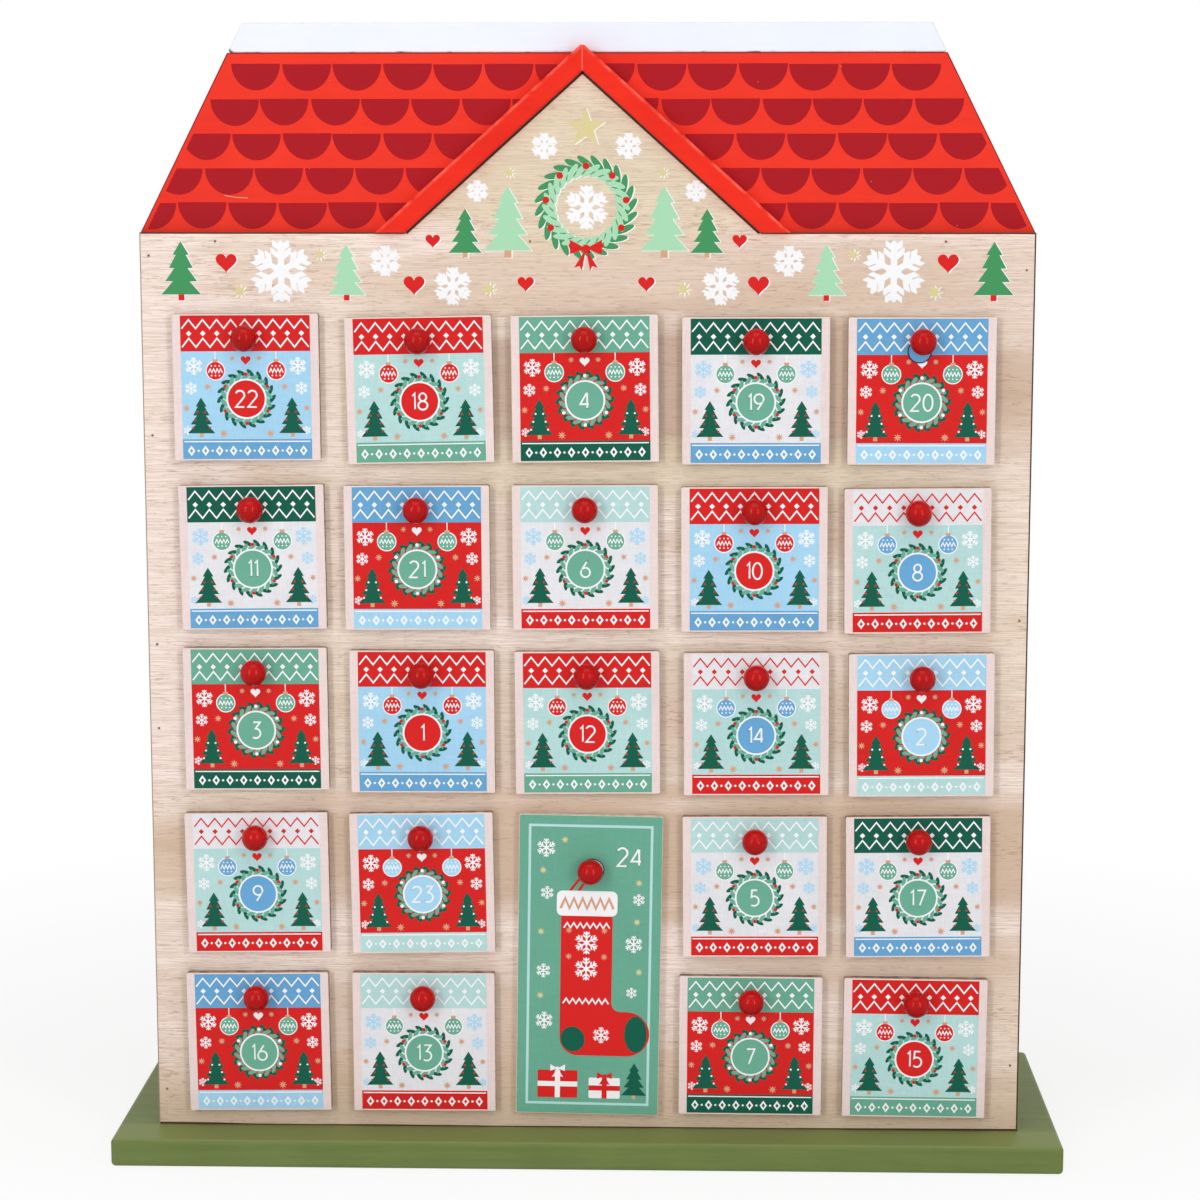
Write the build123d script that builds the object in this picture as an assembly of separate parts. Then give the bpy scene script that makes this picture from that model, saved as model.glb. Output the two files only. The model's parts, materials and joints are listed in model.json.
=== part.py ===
from build123d import *
from math import atan2, cos, sin, sqrt, tan
import os

# House-shaped wooden advent calendar with a drawer for each of the 24 days.
# Millimetres, +Z up, fronts facing -Y, origin at the middle of the base board's underside.

# Drawer fronts and the grid that they make: a place with no number belongs to the tall drawer above it
DRAWER_ROWS = (
    (22, 18, 4, 19, 20),
    (11, 21, 6, 10, 8),
    (3, 1, 12, 14, 2),
    (9, 23, 24, 5, 17),
    (16, 13, None, 7, 15),
)
FRONT_WIDTH = 50.0
FRONT_HEIGHT = 50.0
FRONT_THICKNESS = 3.0
FRONT_CORNER_RADIUS = 0.6
COLUMN_GAP = 7.5
ROW_GAP = 7.5
FRONT_OVERLAP = 3.0
FRONT_GAP = 0.3

# How each glued front sits on its tray: shift across and up, and tilt seen from the front
GLUE_SHIFT = 1.0
FRONT_SHIFT_SHARES = {
    22: (-0.9, 0.8), 18: (0.8, 0.0), 4: (-0.3, 0.5), 19: (0.3, -0.1), 20: (-1.0, -0.1),
    11: (0.3, -0.2), 21: (-0.5, -0.2), 6: (-0.2, 0.1), 10: (0.2, -0.4), 8: (-1.5, -0.7),
    3: (0.5, 0.8), 1: (0.8, 0.1), 12: (0.5, 0.0), 14: (1.3, -0.2), 2: (0.7, -0.3),
    9: (0.1, 0.1), 23: (0.3, 0.3), 24: (1.0, -0.2), 5: (1.2, -0.3), 17: (0.4, 0.0),
    16: (-0.4, 0.2), 13: (0.4, 0.5), 7: (0.1, 0.0), 15: (0.1, -0.4),
}
FRONT_TILT_DEGREES = {
    22: 0.3, 18: 1.1, 4: 0.6, 19: 0.2, 20: 0.1,
    11: 0.7, 21: 0.3, 6: 0.4, 10: 0.3, 8: 0.6,
    3: 0.4, 1: 0.2, 12: 0.5, 14: 0.4, 2: 0.6,
    9: 0.7, 23: 0.9, 24: -0.9, 5: 0.4, 17: 0.7,
    16: 0.7, 13: 0.2, 7: -0.2, 15: -0.4,
}

# Ball knobs, glued on by a flat seat
KNOB_DIAMETER = 9.0
KNOB_SEAT_DIAMETER = 4.0
KNOB_DROP = 8.2
TALL_KNOB_DROP = 19.3

# Drawer trays
TRAY_BOARD = 2.5
TRAY_SIDE_PLAY = 0.4
TRAY_RUNNING_GAP = 0.3
TRAY_HEADROOM = 1.7
TRAY_BACK_GAP = 3.0

# House shell
HOUSE_DEPTH = 77.2
SIDE_MARGIN = 8.25
FRIEZE_HEIGHT = 28.2
PANEL_THICKNESS = 3.0
WALL_THICKNESS = 6.0
CEILING_THICKNESS = 6.0
FLOOR_THICKNESS = 9.3
GRID_BOARD = 3.0
SLOT_CLEARANCE = 0.1

# Roof and gable
ROOF_RISE = 60.1
ROOF_INSET = 30.6
ROOF_END_THICKNESS = 5.0
RIDGE_THICKNESS = 10.0
RIDGE_EDGE_RADIUS = 0.8
GABLE_WIDTH = 120.3
GABLE_TIP_DROP = 6.2
GABLE_SHIFT = -1.15
TRIM_WIDTH = 6.8
TRIM_THICKNESS = 6.0
TRIM_EDGE_RADIUS = 1.2
TRIM_TIP_CUT = 0.6

# Base board
BASE_THICKNESS = 10.0
BASE_SIDE_MARGIN = 14.25
BASE_FRONT_MARGIN = 17.4
BASE_BACK_MARGIN = 17.4
BASE_EDGE_RADIUS = 1.6

# Panel pins that nail the front and back panels to the walls and the ceiling
PIN_DIAMETER = 0.9
PIN_LENGTH = 14.0
PIN_PROUD = 0.1
FRONT_LEFT_PIN_SHARES = (0.041, 0.455, 0.549, 0.780, 0.975)
FRONT_RIGHT_PIN_SHARES = (0.076, 0.579, 0.960)
FRONT_TOP_PIN_SHARES = (-0.83, -0.125, 0.80)
BACK_SIDE_PIN_SHARES = (0.06, 0.35, 0.65, 0.94)
BACK_TOP_PIN_SHARES = (-0.55, 0.55)

# Sizes worked out from the ones above
ROW_COUNT = len(DRAWER_ROWS)
COLUMN_COUNT = len(DRAWER_ROWS[0])
COLUMN_PITCH = FRONT_WIDTH + COLUMN_GAP
ROW_PITCH = FRONT_HEIGHT + ROW_GAP
OPENING_WIDTH = FRONT_WIDTH - 2 * FRONT_OVERLAP
OPENING_HEIGHT = FRONT_HEIGHT - 2 * FRONT_OVERLAP
HOUSE_WIDTH = COLUMN_COUNT * COLUMN_PITCH + 2 * SIDE_MARGIN
HALF_WIDTH = HOUSE_WIDTH / 2
INNER_HALF_WIDTH = HALF_WIDTH - WALL_THICKNESS
BASE_WIDTH = HOUSE_WIDTH + 2 * BASE_SIDE_MARGIN
BASE_DEPTH = HOUSE_DEPTH + BASE_FRONT_MARGIN + BASE_BACK_MARGIN

# Heights
FOOT_Z = BASE_THICKNESS
FLOOR_TOP_Z = FOOT_Z + FLOOR_THICKNESS
TOP_ROW_BOTTOM_Z = FLOOR_TOP_Z + (ROW_COUNT - 1) * ROW_PITCH
EAVE_Z = TOP_ROW_BOTTOM_Z + OPENING_HEIGHT + FRONT_OVERLAP + FRIEZE_HEIGHT
EAVE_HEIGHT = EAVE_Z - FOOT_Z
CEILING_BOTTOM_Z = EAVE_Z - CEILING_THICKNESS
ROOF_TOP_Z = EAVE_Z + ROOF_RISE
GABLE_RISE = ROOF_RISE - GABLE_TIP_DROP
ROOF_TOP_HALF_WIDTH = HALF_WIDTH - ROOF_INSET

# Depths, from the front face of the front panel to the back face of the back panel
FACE_Y = BASE_FRONT_MARGIN - BASE_DEPTH / 2
INNER_FRONT_Y = FACE_Y + PANEL_THICKNESS
BACK_FACE_Y = FACE_Y + HOUSE_DEPTH
INNER_BACK_Y = BACK_FACE_Y - PANEL_THICKNESS
MIDDLE_Y = (INNER_FRONT_Y + INNER_BACK_Y) / 2
TRAY_FRONT_Y = FACE_Y - FRONT_GAP
TRAY_BACK_Y = INNER_BACK_Y - TRAY_BACK_GAP


def board(across, along, up):
    """Rectangular board between low and high limits on X, Y and Z."""
    limits = (across, along, up)
    size = [high - low for low, high in limits]
    middle = [(low + high) / 2 for low, high in limits]
    return Pos(*middle) * Box(*size)


def sheet(points, front_y, thickness):
    """Flat sheet with an outline of (x, z) points, from its front face backwards."""
    rear_plane = Plane(origin=(0, front_y + thickness, 0), x_dir=(1, 0, 0), z_dir=(0, -1, 0))
    outline = make_face(Polyline(*points, close=True))
    return extrude(rear_plane * outline, amount=thickness)


def column_x(column):
    """Middle of a column of drawers, counted from the left."""
    return (column - (COLUMN_COUNT - 1) / 2) * COLUMN_PITCH


def divider_x(index):
    """Middle of an upright divider, counted from the left."""
    return (column_x(index) + column_x(index + 1)) / 2


def opening_bottom_z(row):
    """Lower edge of an opening in the front panel, rows counted from the top."""
    return FLOOR_TOP_Z + (ROW_COUNT - 1 - row) * ROW_PITCH


def drawer_places():
    """Number, middle x, opening bottom z and opening height of every drawer."""
    places = []
    for row, numbers in enumerate(DRAWER_ROWS):
        for column, number in enumerate(numbers):
            if number is None:
                continue
            rows_below = DRAWER_ROWS[row + 1:]
            is_tall = bool(rows_below) and rows_below[0][column] is None
            bottom_row = row + 1 if is_tall else row
            height = OPENING_HEIGHT + (bottom_row - row) * ROW_PITCH
            places.append((number, column_x(column), opening_bottom_z(bottom_row), height))
    return places


# House shell

def base_board():
    """Board that the house stands on, with softly rounded edges."""
    half_depth = BASE_DEPTH / 2
    blank = board((-BASE_WIDTH / 2, BASE_WIDTH / 2), (-half_depth, half_depth), (0, BASE_THICKNESS))
    return fillet(blank.edges(), BASE_EDGE_RADIUS)


def front_panel():
    """One sheet with the gable on top and an opening for each drawer."""
    panel = sheet(
        [
            (-HALF_WIDTH, FOOT_Z),
            (HALF_WIDTH, FOOT_Z),
            (HALF_WIDTH, EAVE_Z),
            (GABLE_SHIFT + GABLE_WIDTH / 2, EAVE_Z),
            (GABLE_SHIFT, EAVE_Z + GABLE_RISE),
            (GABLE_SHIFT - GABLE_WIDTH / 2, EAVE_Z),
            (-HALF_WIDTH, EAVE_Z),
        ],
        FACE_Y,
        PANEL_THICKNESS,
    )
    openings = [
        board(
            (x - OPENING_WIDTH / 2, x + OPENING_WIDTH / 2),
            (FACE_Y - PANEL_THICKNESS, INNER_FRONT_Y + PANEL_THICKNESS),
            (bottom_z, bottom_z + height),
        )
        for _, x, bottom_z, height in drawer_places()
    ]
    return panel - openings


def back_panel():
    """One sheet that closes the house and the roof behind."""
    return sheet(
        [
            (-HALF_WIDTH, FOOT_Z),
            (HALF_WIDTH, FOOT_Z),
            (HALF_WIDTH, EAVE_Z),
            (ROOF_TOP_HALF_WIDTH, ROOF_TOP_Z),
            (-ROOF_TOP_HALF_WIDTH, ROOF_TOP_Z),
            (-HALF_WIDTH, EAVE_Z),
        ],
        INNER_BACK_Y,
        PANEL_THICKNESS,
    )


def side_walls():
    """Left and right walls, between the two panels."""
    depth = (INNER_FRONT_Y, INNER_BACK_Y)
    height = (FOOT_Z, EAVE_Z)
    return [
        board((-HALF_WIDTH, -INNER_HALF_WIDTH), depth, height),
        board((INNER_HALF_WIDTH, HALF_WIDTH), depth, height),
    ]


def floor_and_ceiling():
    """Boards that close the drawer grid below and above, between the walls."""
    width = (-INNER_HALF_WIDTH, INNER_HALF_WIDTH)
    depth = (INNER_FRONT_Y, INNER_BACK_Y)
    return [
        board(width, depth, (FOOT_Z, FLOOR_TOP_Z)),
        board(width, depth, (CEILING_BOTTOM_Z, EAVE_Z)),
    ]


# Drawer grid: shelves and dividers cross in half-lap slots

def shelf_spans():
    """Row above each shelf, with the shelf's low and high x: the lowest level has two half shelves."""
    spans = [(row, -INNER_HALF_WIDTH, INNER_HALF_WIDTH) for row in range(ROW_COUNT - 2)]
    middle_column = COLUMN_COUNT // 2
    left_end = divider_x(middle_column - 1) - GRID_BOARD / 2
    right_end = divider_x(middle_column) + GRID_BOARD / 2
    lowest = ROW_COUNT - 2
    spans.append((lowest, -INNER_HALF_WIDTH, left_end))
    spans.append((lowest, right_end, INNER_HALF_WIDTH))
    return spans


def slot(middle_x, middle_z, depth):
    """Cutter for one half-lap, a clearance wider than the board that goes in."""
    reach = GRID_BOARD / 2 + SLOT_CLEARANCE
    return board((middle_x - reach, middle_x + reach), depth, (middle_z - reach, middle_z + reach))


def crossings():
    """Shelf index, divider index and middle (x, z) of every crossing."""
    found = []
    for shelf, (row, low_x, high_x) in enumerate(shelf_spans()):
        middle_z = opening_bottom_z(row) - GRID_BOARD / 2
        for divider in range(COLUMN_COUNT - 1):
            x = divider_x(divider)
            if low_x < x < high_x:
                found.append((shelf, divider, x, middle_z))
    return found


def shelves():
    """Shelves that the trays slide on, slotted from the front."""
    depth = (INNER_FRONT_Y, INNER_BACK_Y)
    slot_depth = (INNER_FRONT_Y - SLOT_CLEARANCE, MIDDLE_Y + SLOT_CLEARANCE)
    boards = []
    for index, (row, low_x, high_x) in enumerate(shelf_spans()):
        top_z = opening_bottom_z(row)
        cuts = [slot(x, z, slot_depth) for shelf, _, x, z in crossings() if shelf == index]
        boards.append(board((low_x, high_x), depth, (top_z - GRID_BOARD, top_z)) - cuts)
    return boards


def dividers():
    """Upright boards between the columns, slotted from the back."""
    depth = (INNER_FRONT_Y, INNER_BACK_Y)
    slot_depth = (MIDDLE_Y - SLOT_CLEARANCE, INNER_BACK_Y + SLOT_CLEARANCE)
    boards = []
    for index in range(COLUMN_COUNT - 1):
        middle = divider_x(index)
        width = (middle - GRID_BOARD / 2, middle + GRID_BOARD / 2)
        cuts = [slot(x, z, slot_depth) for _, divider, x, z in crossings() if divider == index]
        boards.append(board(width, depth, (FLOOR_TOP_Z, CEILING_BOTTOM_Z)) - cuts)
    return boards


# Roof

def roof_panel():
    """Upright trapezoid of roof, behind the gable."""
    return sheet(
        [
            (-HALF_WIDTH, EAVE_Z),
            (HALF_WIDTH, EAVE_Z),
            (ROOF_TOP_HALF_WIDTH, ROOF_TOP_Z),
            (-ROOF_TOP_HALF_WIDTH, ROOF_TOP_Z),
        ],
        INNER_FRONT_Y,
        PANEL_THICKNESS,
    )


def roof_ends():
    """Sloping end boards, from the roof panel back to the back panel."""
    right = sheet(
        [
            (HALF_WIDTH - ROOF_END_THICKNESS, EAVE_Z),
            (HALF_WIDTH, EAVE_Z),
            (ROOF_TOP_HALF_WIDTH, ROOF_TOP_Z),
            (ROOF_TOP_HALF_WIDTH - ROOF_END_THICKNESS, ROOF_TOP_Z),
        ],
        INNER_FRONT_Y + PANEL_THICKNESS,
        INNER_BACK_Y - INNER_FRONT_Y - PANEL_THICKNESS,
    )
    return [right, mirror(right, about=Plane.YZ)]


def ridge_board():
    """Flat top board whose ends carry on the slope of the roof."""
    slope = ROOF_INSET / ROOF_RISE
    top_half_width = ROOF_TOP_HALF_WIDTH - slope * RIDGE_THICKNESS
    ridge = sheet(
        [
            (-ROOF_TOP_HALF_WIDTH, ROOF_TOP_Z),
            (ROOF_TOP_HALF_WIDTH, ROOF_TOP_Z),
            (top_half_width, ROOF_TOP_Z + RIDGE_THICKNESS),
            (-top_half_width, ROOF_TOP_Z + RIDGE_THICKNESS),
        ],
        INNER_FRONT_Y,
        BACK_FACE_Y - INNER_FRONT_Y,
    )
    return fillet(ridge.edges(), RIDGE_EDGE_RADIUS)


def gable_trims():
    """Two strips along the gable's slopes, mitred and blunted at the top, cut level at the eaves."""
    half_gable = GABLE_WIDTH / 2
    slope_angle = atan2(GABLE_RISE, half_gable)
    inner_apex_z = EAVE_Z + GABLE_RISE
    tip_z = inner_apex_z + TRIM_WIDTH / cos(slope_angle) - TRIM_TIP_CUT
    right = sheet(
        [
            (half_gable, EAVE_Z),
            (half_gable + TRIM_WIDTH / sin(slope_angle), EAVE_Z),
            (TRIM_TIP_CUT / tan(slope_angle), tip_z),
            (0, tip_z),
            (0, inner_apex_z),
        ],
        INNER_FRONT_Y - TRIM_THICKNESS,
        TRIM_THICKNESS,
    )
    front_edges = right.faces().sort_by(Axis.Y)[0].edges()
    long_edges = front_edges.sort_by(SortBy.LENGTH)[-2:]
    right = fillet(long_edges, TRIM_EDGE_RADIUS)
    return [Pos(GABLE_SHIFT, 0, 0) * strip for strip in (right, mirror(right, about=Plane.YZ))]


def panel_pins():
    """Pins through the front and back panels, their heads a little proud."""
    wall_x = HALF_WIDTH - WALL_THICKNESS / 2
    ceiling_z = EAVE_Z - CEILING_THICKNESS / 2
    front_places = [(-wall_x, FOOT_Z + share * EAVE_HEIGHT) for share in FRONT_LEFT_PIN_SHARES]
    front_places += [(wall_x, FOOT_Z + share * EAVE_HEIGHT) for share in FRONT_RIGHT_PIN_SHARES]
    front_places += [(share * HALF_WIDTH, ceiling_z) for share in FRONT_TOP_PIN_SHARES]
    back_places = [(share * HALF_WIDTH, ceiling_z) for share in BACK_TOP_PIN_SHARES]
    for share in BACK_SIDE_PIN_SHARES:
        height = FOOT_Z + share * EAVE_HEIGHT
        back_places += [(-wall_x, height), (wall_x, height)]
    pin = Rot(90, 0, 0) * Cylinder(PIN_DIAMETER / 2, PIN_LENGTH)
    front_y = FACE_Y - PIN_PROUD + PIN_LENGTH / 2
    back_y = BACK_FACE_Y + PIN_PROUD - PIN_LENGTH / 2
    pins = [Pos(x, front_y, z) * pin for x, z in front_places]
    return pins + [Pos(x, back_y, z) * pin for x, z in back_places]


# Drawers

def front_place(number, x, bottom_z, opening_height):
    """Where a glued front sits: its middle, shifted and tilted a little."""
    shift_x, shift_z = [share * GLUE_SHIFT for share in FRONT_SHIFT_SHARES[number]]
    middle = (x + shift_x, TRAY_FRONT_Y - FRONT_THICKNESS / 2, bottom_z + opening_height / 2 + shift_z)
    return Pos(*middle) * Rot(0, -FRONT_TILT_DEGREES[number], 0)


def drawer(number, x, bottom_z, opening_height):
    """Front board and the five boards of the tray behind it."""
    front = Box(FRONT_WIDTH, FRONT_THICKNESS, opening_height + 2 * FRONT_OVERLAP)
    front = fillet(front.edges().filter_by(Axis.Y), FRONT_CORNER_RADIUS)
    front = front_place(number, x, bottom_z, opening_height) * front
    outer = OPENING_WIDTH / 2 - TRAY_SIDE_PLAY
    inner = outer - TRAY_BOARD
    low_z = bottom_z + TRAY_RUNNING_GAP
    height = (low_z, bottom_z + opening_height - TRAY_HEADROOM)
    length = (TRAY_FRONT_Y, TRAY_BACK_Y)
    inner_length = (TRAY_FRONT_Y + TRAY_BOARD, TRAY_BACK_Y - TRAY_BOARD)
    inner_width = (x - inner, x + inner)
    return [
        front,
        board((x - outer, x - inner), length, height),
        board((x + inner, x + outer), length, height),
        board(inner_width, (TRAY_FRONT_Y, inner_length[0]), height),
        board(inner_width, (inner_length[1], TRAY_BACK_Y), height),
        board(inner_width, inner_length, (low_z, low_z + TRAY_BOARD)),
    ]


def knob(number, x, bottom_z, opening_height):
    """Ball with a flat seat against the drawer front."""
    radius = KNOB_DIAMETER / 2
    stand_off = sqrt(radius**2 - (KNOB_SEAT_DIAMETER / 2) ** 2)
    behind_seat = board((-radius, radius), (stand_off, stand_off + radius), (-radius, radius))
    ball = Sphere(radius) - behind_seat
    drop = TALL_KNOB_DROP if opening_height > OPENING_HEIGHT else KNOB_DROP
    up_from_middle = opening_height / 2 + FRONT_OVERLAP - drop
    on_front = Pos(0, -FRONT_THICKNESS / 2 - stand_off, up_from_middle)
    return front_place(number, x, bottom_z, opening_height) * on_front * ball


def all_pieces():
    """Every named piece, or group of like pieces, as a list of solids."""
    pieces = {
        "base_board": [base_board()],
        "front_panel": [front_panel()],
        "back_panel": [back_panel()],
        "side_walls": side_walls(),
        "floor_and_ceiling": floor_and_ceiling(),
        "shelves": shelves(),
        "dividers": dividers(),
        "roof_panel": [roof_panel()],
        "roof_ends": roof_ends(),
        "ridge_board": [ridge_board()],
        "gable_trims": gable_trims(),
        "panel_pins": panel_pins(),
    }
    for place in drawer_places():
        pieces[f"drawer_{place[0]:02d}"] = drawer(*place)
        pieces[f"knob_{place[0]:02d}"] = [knob(*place)]
    return pieces


os.makedirs("parts", exist_ok=True)
for name, bodies in all_pieces().items():
    solids = [solid for body in bodies for solid in body.solids()]
    shape = solids[0] if len(solids) == 1 else Compound(children=solids)
    export_step(shape, f"parts/{name}.step")
    print(name, len(solids))
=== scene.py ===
"""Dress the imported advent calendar: wood, paint, printed inks and a plain studio.

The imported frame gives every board, drawer, knob and pin. This script gives them their finishes and lays
the printed films on the drawer fronts, the gable and the roof. Print drawings are in millimetres from the
middle of the face that carries them; everything else is in Blender's metres.
"""
import json
import logging
import math
import random
from dataclasses import dataclass, field
from enum import Enum
from functools import lru_cache, partial
from typing import Any, Callable, Dict, Iterable, List, Mapping, Optional, Sequence, Tuple, Union

import bmesh
import bpy
from mathutils import Matrix, Vector

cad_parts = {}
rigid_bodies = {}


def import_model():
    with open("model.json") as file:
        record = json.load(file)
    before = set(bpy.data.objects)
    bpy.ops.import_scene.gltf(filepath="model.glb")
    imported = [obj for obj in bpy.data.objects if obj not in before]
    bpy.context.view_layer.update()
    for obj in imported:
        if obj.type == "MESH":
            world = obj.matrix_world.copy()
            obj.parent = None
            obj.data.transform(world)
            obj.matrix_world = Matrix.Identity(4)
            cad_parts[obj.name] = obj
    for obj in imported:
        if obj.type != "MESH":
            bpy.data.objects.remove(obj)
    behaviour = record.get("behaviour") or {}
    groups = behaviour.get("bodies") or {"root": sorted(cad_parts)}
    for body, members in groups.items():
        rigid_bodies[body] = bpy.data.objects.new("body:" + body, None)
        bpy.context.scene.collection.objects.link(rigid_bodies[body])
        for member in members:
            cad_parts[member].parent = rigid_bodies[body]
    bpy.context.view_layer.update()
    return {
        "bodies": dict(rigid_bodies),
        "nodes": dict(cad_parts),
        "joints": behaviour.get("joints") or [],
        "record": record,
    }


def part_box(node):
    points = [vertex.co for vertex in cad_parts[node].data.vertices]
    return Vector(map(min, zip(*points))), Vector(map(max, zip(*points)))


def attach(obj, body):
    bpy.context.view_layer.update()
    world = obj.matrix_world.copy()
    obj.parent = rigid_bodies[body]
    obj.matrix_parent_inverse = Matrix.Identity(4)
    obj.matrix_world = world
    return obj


LOG = logging.getLogger("advent_calendar")
MM = 0.001
PHOTO_PIXELS = 1200
HOUSE = "house"
PANEL_SLOT = "panel_plywood"
DRAWER_SLOT = "drawer_plywood"
SIDES = (-1, 1)

Colour = Tuple[float, float, float, float]
Point = Tuple[float, float]
Spot = Tuple[float, float, float]
Nodes = Mapping[str, bpy.types.Object]
PURE_WHITE: Colour = (1.0, 1.0, 1.0, 1.0)


def srgb(*channels: int) -> Colour:
    """Turn a colour as seen on a screen, each part from 0 to 255, into the linear one of the shaders."""
    shares = [channel / 255 for channel in channels]
    return (*(s / 12.92 if s <= 0.04045 else ((s + 0.055) / 1.055) ** 2.4 for s in shares), 1.0)


class Axis(Enum):
    """A direction of the object's frame, as its place in a vector."""

    X = 0
    Y = 1
    Z = 2


class Ink(Enum):
    """Printing inks of the fronts, the gable and the roof, as seen on a screen."""

    RED = (214, 32, 30)
    ROOF_DARK = (168, 16, 28)
    LIGHT_BLUE = (166, 213, 240)
    BLUE = (103, 165, 211)
    MINT = (183, 220, 218)
    GREEN = (106, 171, 147)
    DARK_GREEN = (8, 90, 70)
    LEAF = (66, 146, 92)
    PALE_LEAF = (166, 216, 178)
    WHITE = (242, 242, 244)
    CHALK = (230, 230, 234)
    PINK = (236, 217, 214)
    TAN = (212, 160, 128)
    GOLD = (216, 203, 148)
    NAVY = (32, 38, 62)
    # Scorched edges, and the painted shadow along the panel's foot and beside the trims.
    SCORCH = (78, 52, 42)
    SINGED = (158, 138, 124)
    MAROON = (122, 22, 28)

    @property
    def colour(self) -> Colour:
        """The ink's linear colour."""
        return srgb(*self.value)


class Socket:
    """A shader value that Python arithmetic can use."""

    def __init__(self, graph: "Graph", output: bpy.types.NodeSocket) -> None:
        """Keep the graph and the output that gives the value."""
        self.graph = graph
        self.output = output

    def _math(self, operation: str, *terms: "Number") -> "Socket":
        """Add a Math node that works on these terms."""
        return self.graph.node("ShaderNodeMath", {"operation": operation}, dict(enumerate(terms)))

    def __add__(self, other: "Number") -> "Socket":
        """Add."""
        return self._math("ADD", self, other)

    __radd__ = __add__

    def __sub__(self, other: "Number") -> "Socket":
        """Subtract."""
        return self._math("SUBTRACT", self, other)

    def __rsub__(self, other: "Number") -> "Socket":
        """Subtract from a number."""
        return self._math("SUBTRACT", other, self)

    def __mul__(self, other: "Number") -> "Socket":
        """Multiply."""
        return self._math("MULTIPLY", self, other)

    __rmul__ = __mul__

    def __gt__(self, other: "Number") -> "Socket":
        """Give 1 where this value is the greater, else 0."""
        return self._math("GREATER_THAN", self, other)

    def __lt__(self, other: "Number") -> "Socket":
        """Give 1 where this value is the smaller, else 0."""
        return self._math("LESS_THAN", self, other)

    def __abs__(self) -> "Socket":
        """Drop the sign."""
        return self._math("ABSOLUTE", self)

    def wave(self) -> "Socket":
        """Give the sine of this angle in radians."""
        return self._math("SINE", self)

    def between(self, low: float, high: float) -> "Socket":
        """Spread the values from low to high over 0 to 1, without overshoot."""
        limits = {"From Min": low, "From Max": high, "Value": self}
        return self.graph.node("ShaderNodeMapRange", {"clamp": True}, limits)


Number = Union[float, Socket]


class Graph:
    """The node tree of a material or of the world."""

    def __init__(self, owner: Union[bpy.types.Material, bpy.types.World]) -> None:
        """Empty the owner's node tree.

        Args:
            owner: The material or the world.
        """
        owner.use_nodes = True
        self.owner = owner
        self.tree = owner.node_tree
        self.tree.nodes.clear()

    def node(self, kind: str, settings: Mapping[str, Any], sockets: Mapping[Any, Any],
             output: Any = 0) -> Socket:
        """Add a node.

        Args:
            kind: Type of the node.
            settings: Settings of the node, which are set first.
            sockets: Values or links of its input sockets, by name or place.
            output: Name or place of the output that is wanted.

        Returns:
            That output.
        """
        made = self.tree.nodes.new(kind)
        for name, value in settings.items():
            setattr(made, name, value)
        for key, value in sockets.items():
            if isinstance(value, Socket):
                self.tree.links.new(value.output, made.inputs[key])
            else:
                made.inputs[key].default_value = value
        return Socket(self, made.outputs[output])

    def coordinate(self, kind: str) -> Socket:
        """Give one of the texture coordinates."""
        return self.node("ShaderNodeTexCoord", {}, {}, kind)

    def part(self, kind: str, axis: Axis) -> Socket:
        """Give the part of a texture coordinate along an axis."""
        return self.node("ShaderNodeSeparateXYZ", {}, {"Vector": self.coordinate(kind)}, axis.value)

    def along(self, axis: Axis) -> Socket:
        """Give the place along an axis."""
        return self.part("Object", axis)

    def facing(self, axis: Axis) -> Socket:
        """Give how squarely the surface faces along an axis, from 0 to 1."""
        return abs(self.part("Normal", axis))

    def noise(self, scales: Tuple[float, ...], detail: float = 3.0, roughness: float = 0.55) -> Socket:
        """Add a cloudy pattern, mostly from 0.3 to 0.7.

        Args:
            scales: How many clouds there are in a metre along X, Y and Z.
            detail: How many finer octaves there are.
            roughness: How strong those are.

        Returns:
            The pattern.
        """
        spread = self.node("ShaderNodeMapping", {}, {"Vector": self.coordinate("Object"), "Scale": scales})
        sockets = {"Vector": spread, "Scale": 1.0, "Detail": detail, "Roughness": roughness}
        return self.node("ShaderNodeTexNoise", {}, sockets)

    def clouds(self, scale: float, detail: float = 3.0) -> Socket:
        """Add a cloudy pattern that is alike in all directions."""
        return self.noise((scale, scale, scale), detail)

    def streaks(self, axis: Axis, along: float, across: float, detail: float = 3.0,
                roughness: float = 0.55) -> Socket:
        """Add a cloudy pattern that is drawn out along an axis.

        Args:
            axis: The axis.
            along: How many clouds there are in a metre along it.
            across: How many there are across it.
            detail: How many finer octaves there are.
            roughness: How strong those are.

        Returns:
            The pattern.
        """
        scales = [across, across, across]
        scales[axis.value] = along
        return self.noise(tuple(scales), detail, roughness)

    def mix(self, share: Number, first: Union[Colour, Socket], second: Union[Colour, Socket]) -> Socket:
        """Blend two colours with this share of the second."""
        return self.node("ShaderNodeMix", {"data_type": "RGBA"}, {0: share, 6: first, 7: second}, 2)

    def bump(self, height: Socket, strength: float, depth: float) -> Socket:
        """Make a relief of this depth in metres from a height between 0 and 1."""
        return self.node("ShaderNodeBump", {}, {"Strength": strength, "Distance": depth, "Height": height})

    def finish(self, surface: Socket) -> None:
        """Close the tree.

        Args:
            surface: The surface that its output shows.
        """
        kind = "World" if isinstance(self.owner, bpy.types.World) else "Material"
        made = self.tree.nodes.new(f"ShaderNodeOutput{kind}")
        self.tree.links.new(surface.output, made.inputs["Surface"])


@dataclass(frozen=True)
class Finish:
    """A surface that is made into a material once.

    Attributes:
        name: Name of the material.
    """

    name: str

    @lru_cache(maxsize=None)
    def material(self) -> bpy.types.Material:
        """Make the material.

        Returns:
            The material.
        """
        graph = Graph(bpy.data.materials.new(self.name))
        graph.finish(graph.node("ShaderNodeBsdfPrincipled", {}, self.sockets(graph)))
        return graph.owner

    def sockets(self, graph: Graph) -> Dict[str, Any]:
        """Give the values and links of the surface's sockets, which each finish has for itself."""
        raise NotImplementedError(self.name)


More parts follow.
